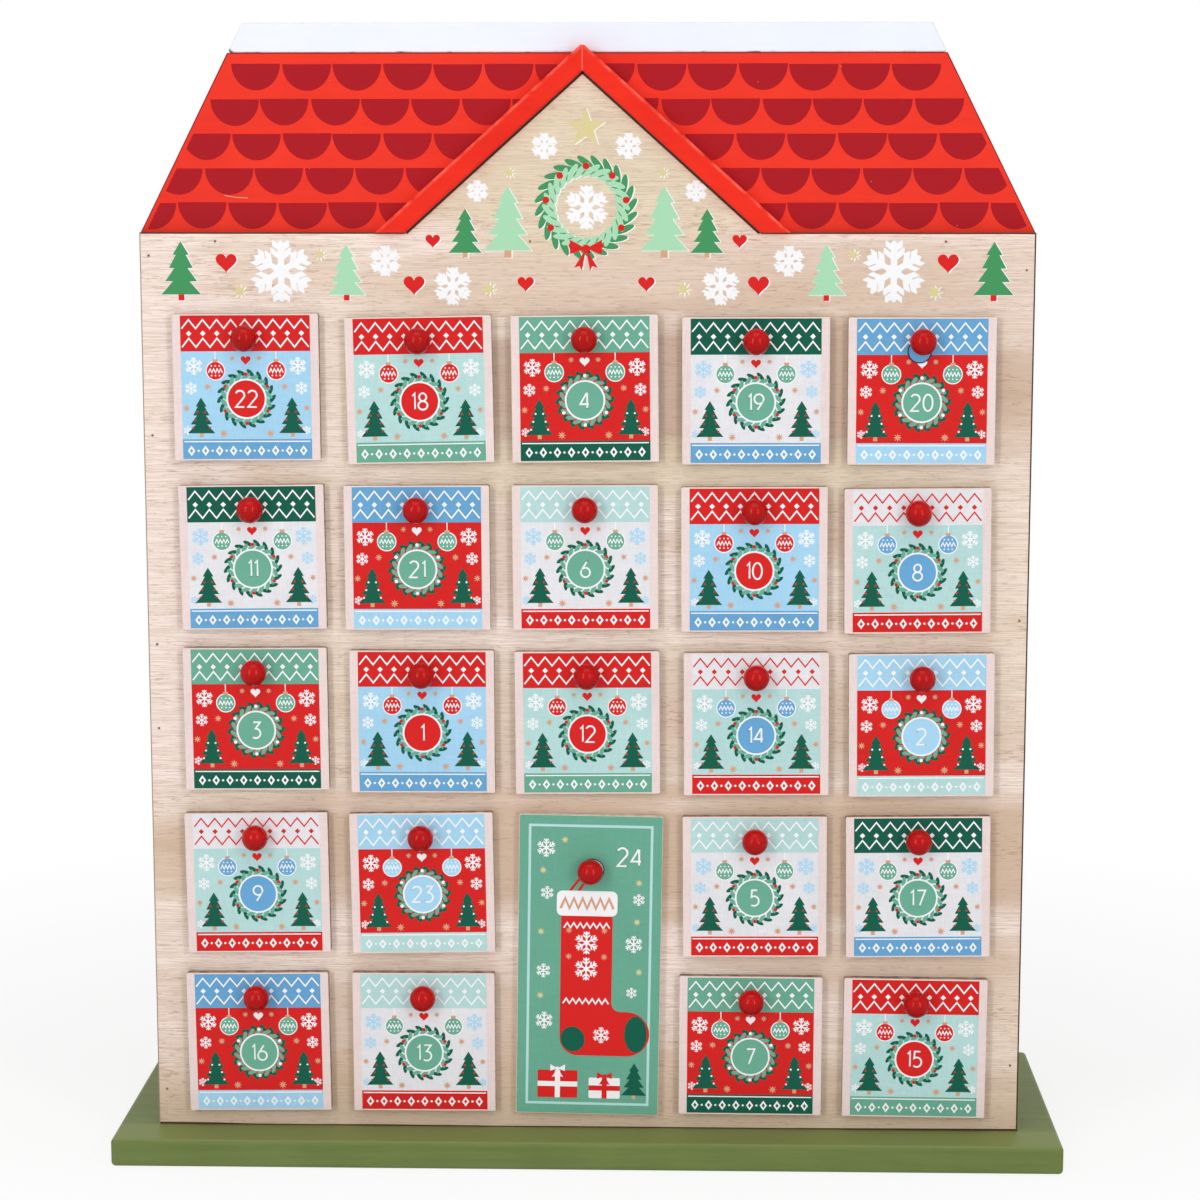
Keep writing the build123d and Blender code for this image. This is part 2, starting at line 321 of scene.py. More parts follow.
@dataclass(frozen=True)
class Belt:
    """A long patch of another tint on the wood: the veneer's figure, and on the front panel partly painted
    shade in the gaps between the drawers.

    Attributes:
        centre: Its middle along the grain and across it, in metres.
        half: Its half length and half height, in metres.
        tint: Its colour.
        share: How much of that shows.
    """

    centre: Point
    half: Point
    tint: Colour
    share: float


# Tints of the belts; the tan and brown ones are partly painted shade in the gaps between the drawers.
PALE_VENEER = srgb(246, 229, 221)
YELLOW_VENEER = srgb(223, 208, 180)
TAN_VENEER_AND_SHADE = srgb(204, 176, 148)
BROWN_VENEER_AND_SHADE = srgb(184, 155, 135)


@dataclass(frozen=True)
class WoodFinish(Finish):
    """Bare plywood or board with its grain along one axis and scorched cut edges.

    Attributes:
        grain: Axis along which the grain runs.
        face: Axis that the board's broad faces look along.
        light: Colour of the palest wood.
        cream: Colour of the yellower places.
        tan: Colour of the browner zones.
        dark: Colour of the fibres.
        vein: Colour of the growth lines and pores.
        ring: Distance between growth lines, in metres.
        drift: How many lines they wander up and down.
        belts: Patches of another tint.
        scorch: Share of the scorched colour on the cut edges.
        burnt: Darkest colour of the scorched edges.
        singed: Palest colour of the scorched edges.
    """

    grain: Axis
    face: Axis
    light: Colour = srgb(247, 231, 223)
    cream: Colour = srgb(238, 222, 205)
    tan: Colour = srgb(219, 193, 171)
    dark: Colour = srgb(206, 180, 160)
    vein: Colour = srgb(170, 132, 108)
    ring: float = 1.15 * MM
    drift: float = 18.0
    belts: Tuple[Belt, ...] = ()
    scorch: float = 1.0
    burnt: Colour = srgb(66, 44, 34)
    singed: Colour = srgb(128, 94, 70)

    def sockets(self, graph: Graph) -> Dict[str, Any]:
        """Lay belts, fibres, growth lines and pores over the figure, and scorch the cut edges.

        Args:
            graph: Graph of the material.

        Returns:
            The surface's sockets.
        """
        streaks = partial(graph.streaks, self.grain)
        third, = set(Axis) - {self.grain, self.face}
        across = graph.along(third)
        blush = streaks(5, 13, 2.0).between(0.42, 0.58)
        zones = streaks(9, 44).between(0.5, 0.64)
        fibres = streaks(70, 2300, 4.0, 0.65)
        patches = streaks(16, 120).between(0.4, 0.66)
        wander = streaks(5, 26) * (math.tau * self.drift)
        rings = (across * (math.tau / self.ring) + wander).wave()
        lines = rings.between(0.7, 1.0) * patches
        pores = streaks(260, 1800, 2.0).between(0.56, 0.7) * (0.32 + zones * 0.26)
        wood = graph.mix(zones * 0.5, graph.mix(blush, self.light, self.cream), self.tan)
        ragged = (streaks(14, 150) - 0.5) * 1.6
        # belts: veneer tints, on the front panel partly painted shade between the drawers
        for belt in self.belts:
            run = (graph.along(self.grain) - belt.centre[0]) * (1 / belt.half[0])
            rise = (across - belt.centre[1]) * (1 / belt.half[1])
            within = (run * run + rise * rise + ragged).between(1.3, 0.5)
            wood = graph.mix(within * belt.share, wood, belt.tint)
        wood = graph.mix(fibres.between(0.565, 0.415) * 0.52, wood, self.dark)
        wood = graph.mix(lines * 0.22, wood, self.vein)
        wood = graph.mix(pores, wood, self.vein)
        burn = graph.mix(graph.clouds(260).between(0.35, 0.65), self.burnt, self.singed)
        cut = (graph.facing(self.face) < 0.5) * self.scorch
        return {
            "Base Color": graph.mix(cut, wood, burn),
            "Roughness": 0.55 + fibres * 0.2,
            "Normal": graph.bump(fibres - lines * 0.4, 0.2, 0.12 * MM),
            "Specular IOR Level": 0.2,
        }


@dataclass(frozen=True)
class DrawerFinish(Finish):
    """Bare tray boards behind a front whose sawn edges are scorched.

    Attributes:
        front_back: Place along Y of the front's back face, in metres.
        light: Colour of the palest wood.
        dark: Colour of the darkest wood.
        pore: Colour of the pores.
        burnt: Darkest colour of the scorched edges.
        singed: Palest colour of the scorched edges.
    """

    front_back: float
    light: Colour = srgb(238, 220, 200)
    dark: Colour = srgb(222, 198, 173)
    pore: Colour = srgb(180, 144, 114)
    burnt: Colour = srgb(116, 98, 88)
    singed: Colour = srgb(176, 154, 138)

    def sockets(self, graph: Graph) -> Dict[str, Any]:
        """Run the grain along each board, and scorch the front's edges.

        Args:
            graph: Graph of the material.

        Returns:
            The surface's sockets.
        """
        squarely = graph.facing(Axis.Y)
        deep = graph.streaks(Axis.Y, 12, 500, 4.0, 0.6)
        wide = graph.streaks(Axis.X, 12, 500, 4.0, 0.6)
        grain = deep + (wide - deep) * (squarely > 0.5)
        wood = graph.mix(grain.between(0.36, 0.62), self.dark, self.light)
        pores = graph.streaks(Axis.Y, 60, 1500, 2.0).between(0.58, 0.72)
        wood = graph.mix(pores * 0.35, wood, self.pore)
        burn = graph.mix(graph.clouds(300).between(0.35, 0.65), self.burnt, self.singed)
        sawn = (squarely < 0.5) * (graph.along(Axis.Y) < self.front_back)
        return {
            "Base Color": graph.mix(sawn, wood, burn),
            "Roughness": 0.55 + grain * 0.2,
            "Normal": graph.bump(grain, 0.25, 0.15 * MM),
            "Specular IOR Level": 0.3,
        }


@dataclass(frozen=True)
class PaintFinish(Finish):
    """Paint on wood, a little uneven, with the grain showing faintly through it.

    Attributes:
        colour: Colour of the paint.
        shade: Colour of its thicker places.
        gloss: Roughness of the paint.
        shine: How strongly the paint mirrors.
        relief: How much of the grain shows.
        streak: Share of the grain in the colour's unevenness.
    """

    colour: Colour
    shade: Colour
    gloss: float
    shine: float = 0.25
    relief: float = 0.12
    streak: float = 0.3

    def sockets(self, graph: Graph) -> Dict[str, Any]:
        """Let the paint vary with the grain below it and from place to place.

        Args:
            graph: Graph of the material.

        Returns:
            The surface's sockets.
        """
        below = graph.streaks(Axis.X, 25, 420)
        clouds = graph.clouds(35, 4.0)
        skin = graph.clouds(900, 2.0)
        tone = (clouds + (below - clouds) * self.streak).between(0.34, 0.66)
        return {
            "Base Color": self.tint(graph, graph.mix(tone, self.shade, self.colour)),
            "Roughness": self.gloss - 0.06 + clouds * 0.12,
            "Normal": graph.bump(below * 0.6 + skin * 0.4, self.relief, 0.12 * MM),
            "Specular IOR Level": self.shine,
        }

    def tint(self, graph: Graph, paint: Socket) -> Socket:
        """Give the paint as it is."""
        return paint


@dataclass(frozen=True)
class TrimFinish(PaintFinish):
    """Paint on the gable's trims, with a painted highlight in patches along their outer edges and the mitre.

    Attributes:
        tip: Place of the gable's tip along X, in metres.
        slope: Direction across the right trim, along X and Z.
        outer: Place of its outer edge in that direction, in metres.
        worn: Colour of the painted highlight.
    """

    tip: float = 0.0
    slope: Point = (0.7, 0.7)
    outer: float = 0.0
    worn: Colour = srgb(255, 128, 104)

    def tint(self, graph: Graph, paint: Socket) -> Socket:
        """Paint the highlight on the edges and the mitre.

        Args:
            graph: Graph of the material.
            paint: The even paint.

        Returns:
            The paint with its painted highlight.
        """
        aside = abs(graph.along(Axis.X) - self.tip)
        across = aside * self.slope[0] + graph.along(Axis.Z) * self.slope[1]
        # painted highlight along the outer edge and along the mitre, in patches
        edge = across.between(self.outer - 1.3 * MM, self.outer - 0.4 * MM)
        highlight_patches = graph.clouds(260, 4.0).between(0.36, 0.62)
        mitre = aside.between(0.3 * MM, 0.1 * MM)
        return graph.mix(edge * highlight_patches * 0.6 + mitre * (0.2 + highlight_patches * 0.4), paint, self.worn)


@dataclass(frozen=True)
class RidgeFinish(PaintFinish):
    """Paint on the ridge board, darker in spots along its lower edge and at its left corner.

    Attributes:
        corner: Place of the lower left corner along X and Z, in metres.
        bare: Colour of the darker places.
    """

    corner: Point = (0.0, 0.0)
    bare: Colour = srgb(92, 62, 56)

    def tint(self, graph: Graph, paint: Socket) -> Socket:
        """Darken the paint in spots along the lower edge and at the left corner.

        Args:
            graph: Graph of the material.
            paint: The even paint.

        Returns:
            The paint with those darker places.
        """
        up = graph.along(Axis.Z) - self.corner[1]
        in_corner = (graph.along(Axis.X) - self.corner[0] + up).between(2.4 * MM, 1.4 * MM)
        # darker spots along the lower edge
        edge_spots = graph.streaks(Axis.Z, 900, 170).between(0.56, 0.66) * up.between(0.7 * MM, 0.3 * MM)
        return graph.mix(in_corner * 0.8 + edge_spots * 0.7, paint, self.bare)


@dataclass(frozen=True)
class KnobFinish(PaintFinish):
    """Paint on the ball knobs, with painted shade on their undersides.

    Attributes:
        under: Colour of the painted shade there.
    """

    under: Colour = srgb(160, 4, 3)

    def tint(self, graph: Graph, paint: Socket) -> Socket:
        """Paint shade on the undersides."""
        # painted shade: the paint darkens where the surface faces down
        return graph.mix(graph.part("Normal", Axis.Z).between(0.3, -0.6), paint, self.under)


@dataclass(frozen=True)
class BaseFinish(PaintFinish):
    """Paint on the base, with a painted reflection of the panel's wood, paler and warmer, on its top in
    front of the panel.

    Attributes:
        panel: Place of the panel's face along Y, in metres.
        lit: Colour of the painted reflection on the top in front of the panel.
    """

    panel: float = 0.0
    lit: Colour = srgb(126, 137, 77)

    def tint(self, graph: Graph, paint: Socket) -> Socket:
        """Paint the panel's reflection on the top in front of the panel."""
        # painted reflection: paler, warmer paint on the top faces in front of the panel
        before = graph.along(Axis.Y).between(self.panel + MM, self.panel - MM)
        return graph.mix((graph.facing(Axis.Z) > 0.7) * before * 0.85, paint, self.lit)


@dataclass(frozen=True)
class SteelFinish(Finish):
    """Dull, slightly rusty heads of panel pins.

    Attributes:
        bright: Colour of the bare steel.
        rust: Colour of the rust.
    """

    bright: Colour = srgb(150, 122, 102)
    rust: Colour = srgb(104, 70, 52)

    def sockets(self, graph: Graph) -> Dict[str, Any]:
        """Spread spots of rust.

        Args:
            graph: Graph of the material.

        Returns:
            The surface's sockets.
        """
        spots = graph.clouds(900).between(0.4, 0.6)
        return {
            "Base Color": graph.mix(spots, self.bright, self.rust),
            "Metallic": 0.6 - spots * 0.5,
            "Roughness": 0.38 + spots * 0.3,
            "Normal": graph.bump(spots, 0.2, 0.05 * MM),
        }


@dataclass(frozen=True)
class InkFinish(Finish):
    """A printed colour with a linen relief and an uneven sheen, mottled where it is broad.

    Attributes:
        ink: Its ink.
        broad: Whether it is a broad ground.
        deep: Share of the colour that the darkest mottle keeps.
    """

    ink: Ink
    broad: bool
    deep: float = 0.86

    def sockets(self, graph: Graph) -> Dict[str, Any]:
        """Weave the linen into the colour.

        Args:
            graph: Graph of the material.

        Returns:
            The surface's sockets.
        """
        linen = graph.noise((3000, 300, 260), 2.0) * 0.5 + graph.noise((260, 300, 3000), 2.0) * 0.5
        sockets = {
            "Base Color": self.ink.colour,
            "Roughness": 0.5 + linen * 0.18,
            "Normal": graph.bump(linen, 0.12, 0.06 * MM),
            "Specular IOR Level": 0.15,
        }
        if self.broad:
            shade = (*(self.deep * part for part in self.ink.colour[:3]), 1.0)
            tone = (linen * 0.7 + graph.clouds(60) * 0.3).between(0.3, 0.6)
            sockets["Base Color"] = graph.mix(tone, shade, self.ink.colour)
            sockets["Roughness"] = 0.52 + linen * 0.16
        return sockets


def arc(centre: Point, radii: Point, start: float, end: float, steps: int = 16) -> List[Point]:
    """Give points along an arc of an ellipse from one angle in degrees to another."""
    turns = [math.radians(start + (end - start) * step / steps) for step in range(steps + 1)]
    return shifted([(radii[0] * math.cos(turn), radii[1] * math.sin(turn)) for turn in turns], centre)


def polar(centre: Point, radius: float, degrees: float) -> Point:
    """Give the point at a radius and an angle about a centre."""
    return arc(centre, (radius, radius), degrees, degrees, 1)[0]


def shifted(points: Iterable[Point], centre: Point) -> List[Point]:
    """Move points that are drawn about zero to a centre."""
    return [(centre[0] + u, centre[1] + v) for u, v in points]


def face_matrix(x: float, y: float, z: float, tilt: float = 0.0) -> Matrix:
    """Give the matrix from millimetres across, up and out of a face, turned in its plane, to the frame."""
    cos, sin = math.cos(tilt) * MM, math.sin(tilt) * MM
    return Matrix(((cos, -sin, 0, x), (0, 0, -MM, y), (sin, cos, 0, z), (0, 0, 0, 1)))


DIGITS: Dict[str, List[List[Point]]] = {
    "0": [arc((0.28, 0.5), (0.28, 0.5), 90, 450, 28)],
    "1": [[(0.1, 0.8), (0.28, 1.0), (0.28, 0.0)]],
    "2": [arc((0.27, 0.73), (0.27, 0.27), 165, -35) + [(0.0, 0.0), (0.56, 0.0)]],
    "3": [[(0.04, 1.0), (0.52, 1.0)] + arc((0.24, 0.3), (0.29, 0.3), 92, -140)],
    "4": [[(0.42, 0.0), (0.42, 1.0)], [(0.42, 1.0), (0.0, 0.27), (0.58, 0.27)]],
    "5": [[(0.5, 1.0), (0.12, 1.0)] + arc((0.25, 0.31), (0.29, 0.31), 125, -140)],
    "6": [arc((0.28, 0.29), (0.28, 0.29), 150, 510, 26), [(0.4, 1.0), (0.04, 0.44)]],
    "7": [[(0.0, 1.0), (0.54, 1.0), (0.17, 0.0)]],
    "8": [arc((0.28, 0.76), (0.215, 0.24), 0, 360, 24), arc((0.28, 0.26), (0.28, 0.26), 0, 360, 26)],
    "9": [arc((0.28, 0.71), (0.28, 0.29), -30, 330, 26), [(0.16, 0.0), (0.52, 0.56)]],
}
DIGIT_GAP = 0.2
DIGIT_PEN = 0.105


class PrintSheet:
    """A print in several inks on a flat face, each shape a closed film of its own thickness.

    Where a shape takes a layer, that is how many films it lies above the lowest.
    """

    def __init__(self, name: str, place: Matrix, step: float, bottom: float = 0.0, broad: bool = False,
                 single: Optional[Ink] = None) -> None:
        """Start an empty print.

        Args:
            name: Name of the piece.
            place: Turns millimetres across, up and out of the face into the object's frame.
            step: Thickness of the lowest film, and how much higher each next one is, in millimetres.
            bottom: Height of the films' undersides over the face.
            broad: Whether its colours are broad grounds.
            single: Ink that is printed in the place of all the others.
        """
        self.name = name
        self.place = place
        self.step = step
        self.bottom = bottom
        self.broad = broad
        self.single = single
        self.inks: List[Ink] = []
        self.mesh = bmesh.new()
        self.film = self.mesh.faces.layers.int.new("film")

    def _lay(self, faces: Sequence[bmesh.types.BMFace], ink: Ink, layer: int) -> None:
        """Give flat faces their ink and their film.

        Args:
            faces: The faces.
            ink: Their ink.
            layer: Their film.
        """
        ink = self.single or ink
        if ink not in self.inks:
            self.inks.append(ink)
        for face in faces:
            face.material_index = self.inks.index(ink)
            face[self.film] = layer

    def polygon(self, points: Sequence[Point], ink: Ink, layer: int = 0, rounding: float = 0.0) -> None:
        """Print a filled outline.

        Args:
            points: Its corners.
            ink: Its ink.
            layer: Its film.
            rounding: Radius of its corners.
        """
        corners = [self.mesh.verts.new((u, v, 0)) for u, v in points]
        self._lay([self.mesh.faces.new(corners)], ink, layer)
        if rounding:
            bmesh.ops.bevel(self.mesh, geom=corners, offset=rounding, offset_type="OFFSET",
                            affect="VERTICES", segments=4, profile=0.5, material=-1)

    def box(self, low: Point, high: Point, ink: Ink, layer: int = 0, rounding: float = 0.0) -> None:
        """Print a rectangle between two corners."""
        self.polygon([low, (high[0], low[1]), high, (low[0], high[1])], ink, layer, rounding)

    def disc(self, centre: Point, radii: Point, ink: Ink, layer: int = 0, turn: float = 0.0,
             sides: int = 20) -> None:
        """Print an ellipse or a diamond.

        Args:
            centre: Its middle.
            radii: Its half width and half height before it is turned.
            ink: Its ink.
            layer: Its film.
            turn: How far it is turned, in degrees.
            sides: Number of its sides.
        """
        spin = Matrix.Rotation(math.radians(turn), 4, "Z")
        size = Matrix.Diagonal((radii[0], radii[1], 1, 1))
        place = Matrix.Translation((centre[0], centre[1], 0)) @ spin @ size
        made = bmesh.ops.create_circle(self.mesh, cap_ends=True, radius=1, segments=sides, matrix=place)
        self._lay(list(made["verts"][0].link_faces), ink, layer)

    def dot(self, centre: Point, radius: float, ink: Ink, layer: int = 0, sides: int = 20) -> None:
        """Print a round spot."""
        self.disc(centre, (radius, radius), ink, layer, sides=sides)

    def star(self, centre: Point, radius: float, ink: Ink, layer: int = 0, waist: float = 0.42,
             points: int = 8) -> None:
        """Print a star.

        Args:
            centre: Its middle.
            radius: Radius of its points.
            ink: Its ink.
            layer: Its film.
            waist: Share of that radius that is left between two points.
            points: Number of its points.
        """
        place = Matrix.Translation((centre[0], centre[1], 0))
        corners = bmesh.ops.create_circle(self.mesh, cap_ends=True, radius=radius, segments=2 * points,
                                          matrix=place)["verts"]
        bmesh.ops.scale(self.mesh, vec=(waist, waist, 1), space=place.inverted(), verts=corners[1::2])
        self._lay(list(corners[0].link_faces), ink, layer)

    def stroke(self, points: Sequence[Point], width: float, ink: Ink, layer: int = 0,
               round_ends: bool = False) -> None:
        """Print a pen stroke of even width.

        Args:
            points: The line that the pen follows; a loop ends where it starts.
            width: Width of the pen.
            ink: Its ink.
            layer: Its film.
            round_ends: Whether the pen leaves round ends.
        """
        line = [Vector((u, v, 0)) for u, v in points]
        down = Vector((0, 0, -1))
        sharpest = 0.5
        loop = (line[0] - line[-1]).length < 1e-6
        if loop:
            line.pop()
        rails = []
        for index, here in enumerate(line):
            before = line[index - 1] if loop or index else here
            after = line[(index + 1) % len(line)] if loop or index < len(line) - 1 else here
            inward = (here - before).normalized()
            onward = (after - here).normalized()
            across = (inward + onward).normalized().cross(down)
            lead = onward if onward.length else inward
            side = across * (width / 2 / max(abs(across.dot(lead.cross(down))), sharpest))
            rails.append((self.mesh.verts.new(here + side), self.mesh.verts.new(here - side)))
        ends = rails[1:] + rails[:1] if loop else rails[1:]
        faces = [self.mesh.faces.new((a[0], a[1], b[1], b[0])) for a, b in zip(rails, ends)]
        if round_ends and not loop:
            faces += [self._cap(line[0], rails[0]), self._cap(line[-1], rails[-1][::-1])]
        self._lay(faces, ink, layer)

    def _cap(self, end: Vector, rail: Sequence[bmesh.types.BMVert], steps: int = 6) -> bmesh.types.BMFace:
        """Round off the end of a stroke.

        Args:
            end: Where the pen stops.
            rail: The two corners of the stroke there, the one on the left of the way out first.
            steps: Number of sides of the half disc.

        Returns:
            The half disc that joins them.
        """
        reach = rail[0].co - end
        turns = [Matrix.Rotation(-math.pi * step / steps, 3, "Z") for step in range(1, steps)]
        rim = [self.mesh.verts.new(end + turn @ reach) for turn in turns]
        return self.mesh.faces.new([rail[0]] + rim + [rail[1]])

    def number(self, number: int, centre: Point, height: float, ink: Ink, layer: int) -> None:
        """Print a number with a thin round pen.

        Args:
            number: The number.
            centre: Its middle.
            height: Height of its digits.
            ink: Its ink.
            layer: Its lowest film.
        """
        digits = [DIGITS[digit] for digit in str(number)]
        reaches = [[u for stroke in digit for u, _ in stroke] for digit in digits]
        widths = [max(reach) - min(reach) for reach in reaches]
        left = -(sum(widths) + DIGIT_GAP * (len(digits) - 1)) / 2
        for digit, reach, width in zip(digits, reaches, widths):
            for film, stroke in enumerate(digit, layer):
                drawn = [(height * (left + u - min(reach)), height * (v - 0.5)) for u, v in stroke]
                self.stroke(shifted(drawn, centre), DIGIT_PEN * height, ink, film, round_ends=True)
            left += width + DIGIT_GAP

    def cut(self, point: Point, outward: Point) -> None:
        """Trim the print along a line.

        Args:
            point: A point of the line.
            outward: Direction of the side that goes.
        """
        whole = self.mesh.verts[:] + self.mesh.edges[:] + self.mesh.faces[:]
        bmesh.ops.bisect_plane(self.mesh, geom=whole, dist=1e-4, plane_co=(point[0], point[1], 0),
                               plane_no=(outward[0], outward[1], 0), clear_outer=True)

    def finish(self, body: str, slot: str) -> None:
        """Thicken the shapes into films, dress them and make them one piece.

        Args:
            body: Body that the print moves with.
            slot: The record's material slot that it belongs to; not used.
        """
        films: Dict[int, List[bmesh.types.BMFace]] = {}
        for face in self.mesh.faces:
            films.setdefault(face[self.film], []).append(face)
        bmesh.ops.translate(self.mesh, vec=(0, 0, self.bottom), verts=self.mesh.verts)
        for layer, faces in films.items():
            raised = bmesh.ops.extrude_face_region(self.mesh, geom=faces, use_keep_orig=True)
            tops = [part for part in raised["geom"] if isinstance(part, bmesh.types.BMVert)]
            bmesh.ops.translate(self.mesh, vec=(0, 0, self.step * (layer + 1)), verts=tops)
        bmesh.ops.recalc_face_normals(self.mesh, faces=self.mesh.faces)
        bmesh.ops.transform(self.mesh, matrix=self.place, verts=self.mesh.verts)
        data = bpy.data.meshes.new(self.name)
        self.mesh.to_mesh(data)
        self.mesh.free()
        kind = "ground" if self.broad else "ink"
        for ink in self.inks:
            data.materials.append(InkFinish(f"{kind}_{ink.name.lower()}", ink, self.broad).material())
        piece = bpy.data.objects.new(self.name, data)
        bpy.context.scene.collection.objects.link(piece)
        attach(piece, body)
        LOG.info("%s: %d faces in %d inks", self.name, len(data.polygons), len(self.inks))


class WinterPrint(PrintSheet):
    """A print sheet that knows the winter ornaments."""

    def pairs(self, draw: Callable[[Point, float], None], spots: Sequence[Spot], level: float = 0.0) -> None:
        """Print ornaments on both sides of the middle.

        Args:
            draw: Prints one ornament at a place and in a size.
            spots: How far aside and how far over the level each lies, and its size.
            level: The level.
        """
        for aside, up, size in spots:
            for side in SIDES:
                draw((side * aside, level + up), size)

    def snowflake(self, centre: Point, radius: float, ink: Ink, layer: int = 0, pen: float = 0.14) -> None:
        """Print a six-armed snow crystal as one outline.

        Args:
            centre: Its middle.
            radius: Length of an arm.
            ink: Its ink.
            layer: Its film.
            pen: Share of the radius that an arm is wide.
        """
        arms = 6
        twigs = ((0.4, 0.3), (0.68, 0.22))
        lean = math.radians(52)
        half = 0.5 * pen * radius
        width = 0.9 * pen * radius / math.sin(lean)
        side = [(2.6 * half, half)]
        for share, length in twigs:
            root = share * radius
            out = (length * radius * math.cos(lean), length * radius * math.sin(lean))
            side += [(root, half), (root + out[0], half + out[1]),
                     (root + width + out[0], half + out[1]), (root + width, half)]
        side += [(radius - half, half), (radius, 0.0)]
        arm = [(along, -across) for along, across in side[:-1]] + list(reversed(side))
        outline: List[Point] = []
        for index in range(arms):
            angle = math.tau * (0.25 + index / arms)
            cos, sin = math.cos(angle), math.sin(angle)
            outline += [(a * cos - t * sin, a * sin + t * cos) for a, t in arm]
        self.polygon(shifted(outline, centre), ink, layer)

    def fir(self, foot: Point, height: float, ink: Ink, pot: Ink, layer: int = 0) -> None:
        """Print a fir tree with four tiers.

        Args:
            foot: Middle of the trunk's lower end.
            height: Its height.
            ink: Ink of the tree.
            pot: Ink of the trunk.
            layer: Its film.
        """
        tiers = 4
        trunk = 0.1 * height
        thick = 0.05 * height
        rise = (height - trunk) / tiers
        right: List[Point] = []
        for tier in range(tiers):
            reach = 0.34 * height * (1 - 0.2 * tier)
            level = trunk + rise * tier
            right += [(reach, level), (0.42 * reach, level + 0.98 * rise)]
        right[-1] = (0.0, height)
        outline = right + [(-u, v) for u, v in reversed(right[:-1])]
        self.polygon(shifted(outline, foot), ink, layer)
        low, high = shifted([(-thick, 0.0), (thick, trunk)], foot)
        self.box(low, high, pot, layer)

    def heart(self, centre: Point, size: float, ink: Ink, layer: int = 0) -> None:
        """Print a heart.

        Args:
            centre: Its middle.
            size: Its width.
            ink: Its ink.
            layer: Its film.
        """
        steps = 28
        unit = size / 32
        points = []
        for step in range(steps):
            t = math.tau * step / steps
            up = 13 * math.cos(t) - 5 * math.cos(2 * t) - 2 * math.cos(3 * t) - math.cos(4 * t)
            points.append((-unit * 16 * math.sin(t) ** 3, unit * (up + 2.5)))
        self.polygon(shifted(points, centre), ink, layer)

    def bauble(self, centre: Point, radius: float, hook: float, ink: Ink, lines: Ink,
               layer: int = 0) -> None:
        """Print a glass ball on a thread.

        Args:
            centre: Its middle.
            radius: Its radius.
            hook: Height at which the thread starts.
            ink: Ink of the ball.
            lines: Ink of the thread and the stripes.
            layer: Its lowest film.
        """
        rim = radius + 0.35
        wave = 0.8 * radius
        self.stroke([(centre[0], hook), (centre[0], centre[1] + rim)], 0.32, lines, layer)
        self.dot(centre, rim, lines, layer, sides=28)
        self.dot(centre, radius, ink, layer + 1, sides=28)
        low, high = shifted([(-0.8, radius - 0.1), (0.8, radius + 0.9)], centre)
        self.box(low, high, Ink.TAN, layer + 1)
        self.zigzag((centre[0] - wave, centre[0] + wave), centre[1], swing=0.22 * radius, teeth=4, pen=0.4,
                    ink=lines, layer=layer + 2)
        for level in (-0.55, 0.55):
            for share in (-0.45, 0, 0.45):
                spot = (centre[0] + share * radius, centre[1] + level * radius)
                self.dot(spot, 0.28, lines, layer + 2, sides=8)

    def zigzag(self, reach: Point, middle: float, swing: float, teeth: int, pen: float, ink: Ink,
               layer: int = 0) -> None:
        """Print a zigzag line.

        Args:
            reach: Its left and right end.
            middle: Height of its middle.
            swing: How far it swings up and down.
            teeth: Number of its teeth.
            pen: Width of the line.
            ink: Its ink.
            layer: Its film.
        """
        step = (reach[1] - reach[0]) / (2 * teeth)
        line = [(reach[0] + step * index, middle + swing * (1 if index % 2 else -1))
                for index in range(2 * teeth + 1)]
        self.stroke(line, pen, ink, layer)

    def wreath(self, centre: Point, radius: float, leaves: int, leaf: Point, inks: Tuple[Ink, Ink],
               layer: int = 0) -> None:
        """Print a ring of leaves in two inks.

        Args:
            centre: Middle of the ring.
            radius: Radius of the ring.
            leaves: Number of leaves in each ink.
            leaf: Half length and half width of a leaf.
            inks: Ink of the outer and of the inner leaves.
            layer: Its lowest film.
        """
        lean = 38
        for index in range(leaves):
            for side, ink in zip((1, -1), inks):
                angle = (360 * index + 90 * (1 - side)) / leaves
                base = polar(centre, radius + 0.35 * leaf[0] * side, angle)
                self.disc(base, leaf, ink, layer + (side < 0), angle + 90 - lean * side, sides=12)

    def berries(self, centre: Point, radius: float, size: float, turns: range, ink: Ink, sides: int) -> None:
        """Print berries of one size at these angles in degrees on a wreath."""
        for turn in turns:
            self.dot(polar(centre, radius, turn), size, ink, layer=3, sides=sides)

    def bow(self, centre: Point, size: float, ink: Ink, layer: int = 0) -> None:
        """Print a ribbon bow with two loops and two tails.

        Args:
            centre: Middle of its knot.
            size: Width of a loop.
            ink: Its ink.
            layer: Its film.
        """
        loop = ((0, 0), (1, 0.55), (1, -0.35))
        tail = ((0, 0), (0.75, -1.2), (0.4, -1.1), (0.25, -1.35))
        for side in SIDES:
            for outline in (loop, tail):
                points = [(side * size * u, size * v) for u, v in outline]
                self.polygon(shifted(points, centre), ink, layer)
        self.dot(centre, 0.26 * size, ink, layer + 1, sides=12)


@dataclass(frozen=True)
class Colourway:
    """The inks of one printed front.

    Attributes:
        top: Ground of the upper band.
        field: Ground of the middle.
        bottom: Ground of the lower band.
        medal: Ground behind the number.
        chevron: Ink of the zigzags on the upper band.
        flake: Ink of the snow crystals.
        berry: Ink of the berries.
    """

    top: Ink
    field: Ink
    bottom: Ink
    medal: Ink
    chevron: Ink = Ink.WHITE
    flake: Ink = Ink.WHITE
    berry: Ink = Ink.RED


